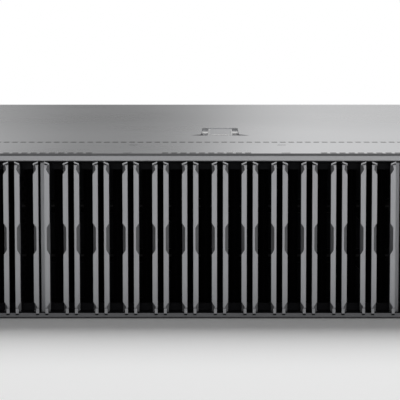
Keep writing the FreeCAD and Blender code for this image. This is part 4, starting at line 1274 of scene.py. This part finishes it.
@dataclass
class Drives:
    """The twelve drive bays with their carriers, levers, lights and air grilles."""

    border: float = 0.003
    lever_reach: float = 0.0763
    bar: float = 0.0009
    bar_depth: float = 0.0016
    cross_shares: Span = (0.2, 0.8)
    columns: int = 5
    rows: int = 4
    lights_each: int = 2
    light_inset: float = 0.0085
    light_pitch: float = 0.004
    light_width: float = 0.0022
    light_height: float = 0.0012
    light_faces: Span = (0.0001, 0.0008)
    light_soften: float = 0.0002
    bar_soften: float = 0.0001

    def build(self) -> None:
        """Finish the drives and add the small parts of each carrier."""
        carriers = sorted(name for name in frame["nodes"]
                          if name.startswith("drive_carrier"))
        dress(CARRIER, *carriers)
        dress(DARK, "drive_levers")
        dress(DISK, "hard_disks")
        dress(BOARD, "drive_backplane")
        lights, grilles = Shape("drive_lights"), Shape("drive_grilles")
        for name in carriers:
            self.light_pipes(lights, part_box(name))
            self.air_grille(grilles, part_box(name))
        lights.finish(LENS, "chassis", "control_panel")
        grilles.finish(INNER, "chassis", carriers[0])

    def light_pipes(self, shape: Shape, corners: Corners) -> None:
        """Two light pipes at a carrier's top edge.

        Args:
            shape: The mesh that they go into.
            corners: The carrier's box.
        """
        low, high = corners
        front, rear = self.light_faces
        floor = high.z - (self.border + self.light_height) / 2
        for step in range(self.lights_each):
            left = high.x - self.light_inset + step * self.light_pitch
            shape.block((left, low.y + front, floor),
                        (left + self.light_width, low.y + rear, floor + self.light_height),
                        self.light_soften)

    def air_grille(self, shape: Shape, corners: Corners) -> None:
        """Crossed bars in a carrier's air slot.

        Args:
            shape: The mesh that they go into.
            corners: The carrier's box.
        """
        low, high = corners
        left = low.x + 2 * self.border + self.lever_reach
        right = high.x - self.border
        floor, roof = low.z + self.border, high.z - self.border
        front, half = low.y + self.border / 2, self.bar / 2
        near, far = (front + self.bar_depth * share for share in self.cross_shares)
        for index in range(1, self.columns + 1):
            x = left + (right - left) * index / (self.columns + 1)
            shape.block((x - half, front, floor), (x + half, front + self.bar_depth, roof),
                        self.bar_soften)
        for index in range(1, self.rows + 1):
            z = floor + (roof - floor) * index / (self.rows + 1)
            shape.block((left, near, z - half), (right, far, z + half), self.bar_soften)


@dataclass
class Cooling:
    """The fans and the duct behind them."""

    fans: int = 4

    def build(self) -> None:
        """Finish the fans, their frames and the duct."""
        dress(BLACK, "fan_frames", "air_shroud",
              *(f"fan_rotor_{number + 1}" for number in range(self.fans)))


@dataclass
class Mainboard:
    """The board, its coolers and memory, and the parts that stand on it."""

    sunk: float = 0.0001
    chip_rise: float = 0.0022
    chip_soften: float = 0.0003
    chips: tuple[tuple[float, float, float, float], ...] = (
        (-0.16, 0.262, 0.027, 0.027), (-0.105, 0.245, 0.018, 0.018),
        (0.02, 0.25, 0.021, 0.021), (0.108, 0.305, 0.016, 0.016),
        (0.098, 0.255, 0.012, 0.018), (-0.025, 0.305, 0.01, 0.014),
        (-0.14, 0.315, 0.012, 0.012), (0.06, 0.312, 0.014, 0.009))
    capacitor_rows: tuple[Span, ...] = (
        (-0.185, 0.236), (-0.04, 0.236), (0.06, 0.234), (-0.18, 0.339))
    capacitors_in_row: int = 5
    capacitor_pitch: float = 0.011
    capacitor_profile: Profile = ((0.0032, 0.0), (0.0034, 0.0006), (0.0034, 0.0078),
                                  (0.003, 0.0084))
    capacitor_sides: int = 24
    memory_chips: int = 9
    memory_chip: Point = (0.0006, 0.0086, 0.011)
    memory_soften: float = 0.0002
    modules_in_bank: int = 6
    module_pitch: float = 0.009
    half_gauge: float = 0.00175
    bank_gap: float = 0.008
    memory_margin: float = 0.007

    def build(self) -> None:
        """Finish the board and add its chips, capacitors and memory chips."""
        dress(BOARD, "mainboard", "power_board", "riser_left", "riser_right",
              "memory_modules")
        dress(ALUMINIUM, "heatsink_left", "heatsink_right")
        self.chip_packages()
        self.capacitors()
        self.memory_packages()

    @property
    def floor(self) -> float:
        """The height that the parts start from, a little below the board's top."""
        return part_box("mainboard")[1].z - self.sunk

    def chip_packages(self) -> None:
        """Flat chip packages in the rear of the board, under the cards."""
        shape = Shape("board_chips")
        roof = self.floor + self.sunk + self.chip_rise
        for x, y, wide, deep in self.chips:
            shape.block((x - wide / 2, y - deep / 2, self.floor),
                        (x + wide / 2, y + deep / 2, roof), self.chip_soften)
        shape.finish(CHIP, "chassis", "mainboard")

    def capacitors(self) -> None:
        """Rows of round capacitors beside the chips."""
        shape = Shape("board_capacitors")
        for x, y in self.capacitor_rows:
            for step in range(self.capacitors_in_row):
                shape.turned((x + step * self.capacitor_pitch, y, self.floor), Axis.UP,
                             self.capacitor_profile, self.capacitor_sides)
        shape.finish(ALUMINIUM, "chassis", "mainboard", smooth=True)

    def memory_packages(self) -> None:
        """A row of chips on the outward face of every memory module."""
        shape = Shape("memory_chips")
        low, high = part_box("memory_modules")
        rise, wide, tall = self.memory_chip
        roof = high.z - self.memory_margin
        for face, flank in self.memory_faces():
            start, end = sorted((face - flank * rise, face + flank * rise))
            for index in range(self.memory_chips):
                y = low.y + (high.y - low.y) * (index + 0.5) / self.memory_chips
                shape.block((start, y - wide / 2, roof - tall), (end, y + wide / 2, roof),
                            self.memory_soften)
        shape.finish(CHIP, "chassis", "memory_modules")

    def memory_faces(self) -> Iterable[tuple[float, int]]:
        """Find the outward face of every memory module.

        Returns:
            Where each face lies across, and the side that it looks to.
        """
        for name in ("heatsink_left", "heatsink_right"):
            for flank, edge in zip((-1, 1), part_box(name)):
                for module in range(self.modules_in_bank):
                    away = self.bank_gap + module * self.module_pitch + self.half_gauge
                    yield edge.x + flank * away, flank


@dataclass
class Ports:
    """The rear ports with their contacts, tongues and screw posts."""

    contacts: int = 8
    contact: float = 0.00045
    contact_pitch: float = 0.00102
    contact_reach: Span = (0.0002, 0.007)
    contact_drop: Span = (0.0007, 0.0002)
    contact_soften: float = 0.00005
    tongue_gauge: float = 0.0019
    tongue_lift: float = 0.0003
    tongue_margin: float = 0.0006
    tongue_reach: Span = (0.0001, 0.0025)
    tongue_soften: float = 0.0001
    strips: int = 4
    strip_pitch: float = 0.0023
    half_strip: float = 0.0005
    strip_reach: Span = (0.001, 0.003)
    strip_faces: Span = (0.00015, 0.0001)
    strip_soften: float = 0.00003
    shell_floor: float = 0.003
    shell_roof: float = 0.0095
    shell_middle: float = 0.00625
    face_half: Span = (0.0067, 0.0077)
    face_depth: Span = (0.0002, 0.0001)
    pin_profile: Profile = ((0.00045, 0.0), (0.00045, 0.0003))
    pin_sides: int = 10
    pin_pitch: float = 0.0023
    row_pitch: float = 0.0019
    post_profile: Profile = ((0.0026, 0.0), (0.0026, 0.0042), (0.00195, 0.0047))
    post_root: float = 0.0002
    post_spread: float = 0.0125
    serial_inset: float = 0.0155

    def build(self) -> None:
        """Finish the shells and add what is inside and beside them."""
        dress(SHELL, "io_ports")
        self.network_contacts()
        self.tongues()
        self.pin_fields()
        self.posts()

    def shells(self) -> tuple[tuple[float, tuple[int, ...]], ...]:
        """The middle of each D-shaped socket, and how many contacts its rows hold."""
        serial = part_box("io_ports")[1].x - self.serial_inset
        return (0.0, (5, 5, 5)), (serial, (5, 4))

    def network_contacts(self) -> None:
        """Eight sprung contacts under the roof of each network socket."""
        shape = Shape("network_contacts")
        rear, front = self.contact_reach
        floor, roof = self.contact_drop
        for name in ("network_socket_1", "network_socket_2"):
            low, high = opening(name)
            for place in spread(self.contacts, self.contact_pitch):
                x = middle_of((low, high)).x + place
                shape.block((x - self.contact / 2, low.y + rear, high.z - floor),
                            (x + self.contact / 2, low.y + front, high.z - roof),
                            self.contact_soften)
        shape.finish(GOLD, "chassis", "io_ports")

    def tongues(self) -> None:
        """The tongue of each stacked socket with four contacts on its underside."""
        plastic, metal = Shape("bus_tongues"), Shape("bus_contacts")
        root, tip = self.tongue_reach
        strip_root, strip_tip = self.strip_reach
        below, above = self.strip_faces
        for name in ("usb_socket_1", "usb_socket_2"):
            low, high = opening(name)
            middle = middle_of((low, high))
            floor = middle.z + self.tongue_lift
            plastic.block((low.x + self.tongue_margin, low.y - root, floor),
                          (high.x - self.tongue_margin, high.y - tip,
                           floor + self.tongue_gauge), self.tongue_soften)
            for place in spread(self.strips, self.strip_pitch):
                x = middle.x + place
                metal.block((x - self.half_strip, low.y + strip_root, floor - below),
                            (x + self.half_strip, high.y - strip_tip, floor + above),
                            self.strip_soften)
        plastic.finish(BLACK, "chassis", "io_ports")
        metal.finish(GOLD, "chassis", "io_ports")

    def pin_fields(self) -> None:
        """The dark faces of the two D-shaped sockets with their rows of contacts."""
        low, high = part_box("io_ports")
        plastic, metal = Shape("socket_faces"), Shape("socket_pins")
        floor, roof = low.z + self.shell_floor, low.z + self.shell_roof
        narrow, wide = self.face_half
        behind, before = self.face_depth
        for centre, rows in self.shells():
            plastic.prism([(centre - narrow, floor), (centre + narrow, floor),
                           (centre + wide, roof), (centre - wide, roof)],
                          high.y - behind, high.y + before)
            for rise, count in zip(spread(len(rows), self.row_pitch), rows):
                for place in spread(count, self.pin_pitch):
                    metal.turned((centre + place, high.y, (floor + roof) / 2 + rise),
                                 Axis.ALONG, self.pin_profile, self.pin_sides)
        plastic.finish(BLACK, "chassis", "io_ports")
        metal.finish(GOLD, "chassis", "io_ports")

    def posts(self) -> None:
        """A hexagon post on each side of each D-shaped socket."""
        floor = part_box("io_ports")[0].z
        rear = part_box("rear_panel")[1].y
        shape = Shape("socket_posts")
        for centre, _ in self.shells():
            for side in (-1, 1):
                shape.turned((centre + side * self.post_spread, rear - self.post_root,
                              floor + self.shell_middle), Axis.ALONG,
                             self.post_profile, HEXAGON)
        shape.finish(PLATED, "chassis", "io_ports")


@dataclass
class PowerSupply:
    """One hot-plug supply with its handle, latch, fan, fan guard and light."""

    number: int
    fan_place: float = 0.0235
    guard_inset: float = 0.0008
    ring_radii: tuple[float, ...] = (0.0035, 0.006, 0.0085, 0.011)
    ring_points: int = 12
    ring_order: int = 3
    spokes: int = 4
    spoke_reach: Span = (0.002, 0.0114)
    wire: float = 0.0005
    wire_steps: int = 3
    recess: float = 0.0048
    hub_profile: Profile = ((0.0045, 0.0), (0.0045, 0.0024), (0.003825, 0.003))
    hub_sides: int = 28
    blades: int = 7
    blade_span: Span = (0.0045, 0.0108)
    blade_steps: int = 5
    blade_curl: float = 0.35
    blade_edges: tuple[Span, Span] = ((0.0004, 0.0), (0.0024, 0.5))
    light_place: Point = (0.014, 0.0001, 0.005)
    light_profile: Profile = ((0.0015, 0.0), (0.0015, 0.0004), (0.001, 0.0007))
    light_sides: int = 20

    def build(self) -> None:
        """Finish the supply and add its fan, guard and light."""
        inlet = middle_of(opening(f"mains_inlet_{self.number}"))
        dress(SupplySteel(f"supply case {self.number}", ZINC, SHELL.roughness, metallic=1.0,
                          centre=(inlet.x, self.hub.y, self.hub.z)), self.body)
        dress(BLACK, self.handle)
        dress(TOUCH, f"supply_latch_{self.number}")
        self.guard()
        self.fan()
        self.light()

    @property
    def body(self) -> str:
        """The body that the supply's pieces ride on, which is also its case's node."""
        return f"supply_{self.number}"

    @property
    def handle(self) -> str:
        """The handle's node."""
        return f"supply_handle_{self.number}"

    @property
    def hub(self) -> Vector:
        """The middle of the fan on the rear face."""
        low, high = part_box(self.body)
        return Vector((low.x + self.fan_place, high.y, middle_of((low, high)).z))

    def guard(self) -> None:
        """A round wire guard over the fan's recess."""
        centre = self.hub - Vector((0.0, self.guard_inset, 0.0))
        name = f"fan_guard_{self.number}"
        curve = bpy.data.curves.new(name, "CURVE")
        curve.dimensions = "3D"
        curve.bevel_depth = self.wire
        curve.bevel_resolution = self.wire_steps
        for radius in self.ring_radii:
            turns = [2 * math.pi * step / self.ring_points
                     for step in range(self.ring_points)]
            ring = self._wire(curve, "NURBS", [self._polar(centre, radius, turn)
                                               for turn in turns])
            ring.order_u = self.ring_order
            ring.use_cyclic_u = True
        for step in range(self.spokes):
            turn = 2 * math.pi * (step + 0.5) / self.spokes
            self._wire(curve, "POLY", [self._polar(centre, reach, turn)
                                       for reach in self.spoke_reach])
        attach(name, curve, PLATED, self.body)

    @staticmethod
    def _polar(centre: Vector, reach: float, turn: float, lift: float = 0.0) -> Vector:
        """A point at a distance and an angle from a centre, seen from the rear."""
        return centre + Vector((math.cos(turn) * reach, lift, math.sin(turn) * reach))

    @staticmethod
    def _wire(curve: bpy.types.Curve, kind: str, spots: Sequence[Vector]
              ) -> bpy.types.Spline:
        """Add one wire to a curve.

        Args:
            curve: The curve.
            kind: The spline's type.
            spots: The points that it runs through.

        Returns:
            The spline.
        """
        wire = curve.splines.new(kind)
        wire.points.add(len(spots) - 1)
        for point, spot in zip(wire.points, spots):
            point.co = (*spot, 1.0)
        return wire

    def fan(self) -> None:
        """A hub with curved blades in the recess behind the guard."""
        floor = self.hub - Vector((0.0, self.recess, 0.0))
        shape = Shape(f"supply_fan_{self.number}")
        shape.turned(tuple(floor), Axis.ALONG, self.hub_profile, self.hub_sides)
        root, tip = self.blade_span
        for blade in range(self.blades):
            corners = []
            for step in range(self.blade_steps + 1):
                share = step / self.blade_steps
                turn = 2 * math.pi * blade / self.blades + self.blade_curl * share
                corners.append([
                    shape.mesh.verts.new(self._polar(floor, root + (tip - root) * share,
                                                     turn + swing, lift))
                    for lift, swing in self.blade_edges])
            for (first, second), (third, fourth) in zip(corners, corners[1:]):
                shape.mesh.faces.new((first, second, fourth, third))
        shape.finish(BLACK, self.body, self.handle)

    def light(self) -> None:
        """A small round light above the inlet."""
        shape = Shape(f"supply_light_{self.number}")
        shape.turned(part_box(self.body)[1] - Vector(self.light_place), Axis.ALONG,
                     self.light_profile, self.light_sides)
        shape.finish(LENS, self.body, self.handle, smooth=True)


# ---------------------------------------------------------------- studio

@dataclass(frozen=True)
class Softbox:
    """A square area lamp that hangs in a place and looks at another."""

    name: str
    place: Point
    aim: Point
    size: float
    power: float

    def build(self) -> None:
        """Hang the lamp."""
        data = bpy.data.lights.new(self.name, "AREA")
        data.size = self.size
        data.energy = self.power
        lamp = bpy.data.objects.new(self.name, data)
        bpy.context.collection.objects.link(lamp)
        lamp.location = self.place
        lamp.visible_glossy = False
        look = Vector(self.aim) - Vector(self.place)
        lamp.rotation_euler = look.to_track_quat("-Z", "Y").to_euler()


@dataclass
class Studio:
    """The floor, the lights and the camera."""

    sweep: tuple[Span, ...] = (
        (0.0, 0.56), (0.125, 0.34), (0.25, 0.2), (0.375, 0.2), (0.47, 0.34),
        (0.5, 0.46), (0.57, 0.65), (0.65, 0.745), (0.75, 0.7), (1.0, 0.6))
    half_sweep: float = 0.16
    least_ahead: float = 0.05
    softboxes: tuple[Softbox, ...] = (
        Softbox("back_softbox", (0.3, 1.4, 2.25), (0.0, -0.3, 0.0), 2.1, 77.0),
        Softbox("side_card", (1.7, -1.7, 0.3), (0.0, -0.35, 0.05), 0.6, 12.0))
    camera_distance: float = 0.958
    camera_height: float = 0.1516
    camera_tilt: float = 5.211
    camera_shift: float = -0.05
    camera_clip: float = 0.05
    lens: float = 161.2
    sensor: float = 36.0
    room: float = 0.27
    wall_rise: Span = (0.0, 0.14)
    wall_share: Span = (0.7, 0.6)
    wall_dimming: Change = (-0.7, -0.25, 0.35, 1.0)
    front_card: float = 0.8
    card_dimming: Change = (-0.9, 0.9, 0.75, 1.25)
    turn_over: Span = (-0.1, 0.3)
    floor_reach: float = 14.0
    floor_drop: float = -0.0002

    def build(self) -> None:
        """Set the stage."""
        bpy.context.scene.view_settings.view_transform = "Standard"
        self.camera()
        self.floor()
        self.world()
        for softbox in self.softboxes:
            softbox.build()

    def camera(self) -> None:
        """A long lens in front, a little above the top."""
        data = bpy.data.cameras.new("camera")
        data.lens = self.lens
        data.sensor_width = self.sensor
        data.shift_x = self.camera_shift
        data.clip_start = self.camera_clip
        camera = bpy.data.objects.new("camera", data)
        bpy.context.collection.objects.link(camera)
        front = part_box("bezel_fins")[0].y
        camera.location = (0.0, front - self.camera_distance, self.camera_height)
        camera.rotation_euler = (math.radians(90.0 - self.camera_tilt), 0.0, 0.0)
        bpy.context.scene.camera = camera

    def floor(self) -> None:
        """A wide pale floor."""
        mesh = bpy.data.meshes.new("studio_floor")
        corners = [(across * self.floor_reach, along * self.floor_reach, self.floor_drop)
                   for across, along in ((-1, -1), (1, -1), (1, 1), (-1, 1))]
        mesh.from_pydata(corners, [], [(0, 1, 2, 3)])
        mesh.materials.append(PAPER.material())
        floor = bpy.data.objects.new("studio_floor", mesh)
        bpy.context.collection.objects.link(floor)

    def world(self) -> None:
        """White to the camera, a soft grey room to matt surfaces, a gradient to gloss."""
        world = bpy.data.worlds.new("studio")
        bpy.context.scene.world = world
        world.use_nodes = True
        graph = Graph(world.node_tree)
        to_camera, to_gloss = graph.ray("Is Camera Ray"), graph.by_gloss()
        to_others = to_gloss * self.reflected(graph) + (1.0 - to_gloss) * self.room
        graph.add("ShaderNodeOutputWorld", {}, graph.node(
            "ShaderNodeBackground", {}, Color=(1.0, 1.0, 1.0),
            Strength=to_camera + (1.0 - to_camera) * to_others))

    def reflected(self, graph: Graph) -> Socket:
        """What gloss sees: a swept wall behind the object and a card in front of it.

        Args:
            graph: The world's graph.

        Returns:
            The brightness by direction.
        """
        x, y, z = graph.axes(graph.node("ShaderNodeTexCoord", {}, output="Generated"))
        bearing = x / y.greatest(self.least_ahead)
        stops = [(place, (level,) * 3) for place, level in self.sweep]
        sweep = graph.node("ShaderNodeValToRGB", {"stops": stops},
                           bearing.ramp_linear(-self.half_sweep, self.half_sweep))
        level, _, _ = graph.axes(sweep)
        foot, rise = self.wall_share
        by_height = foot + rise * z.ramp_linear(*self.wall_rise)
        wall = level * by_height * x.ramp(*self.wall_dimming)
        card = self.front_card * x.ramp(*self.card_dimming)
        behind = y.ramp(*self.turn_over)
        return behind * wall + (1.0 - behind) * card


# ---------------------------------------------------------------- the whole

@dataclass
class Server:
    """The whole object in its studio."""

    supplies: tuple[int, ...] = (1, 2)

    def build(self) -> None:
        """Build every sub-assembly in order."""
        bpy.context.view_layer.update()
        for assembly in (Studio(), Covers(), Bezel(), Chassis(), Drives(), Cooling(),
                         Mainboard(), Ports(), *map(PowerSupply, self.supplies)):
            log.info("building %s", type(assembly).__name__)
            assembly.build()
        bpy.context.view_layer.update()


def main() -> None:
    """Build the server and report each piece."""
    logging.basicConfig(level=logging.INFO, format="%(message)s")
    Server().build()


if __name__ == "__main__":
    main()
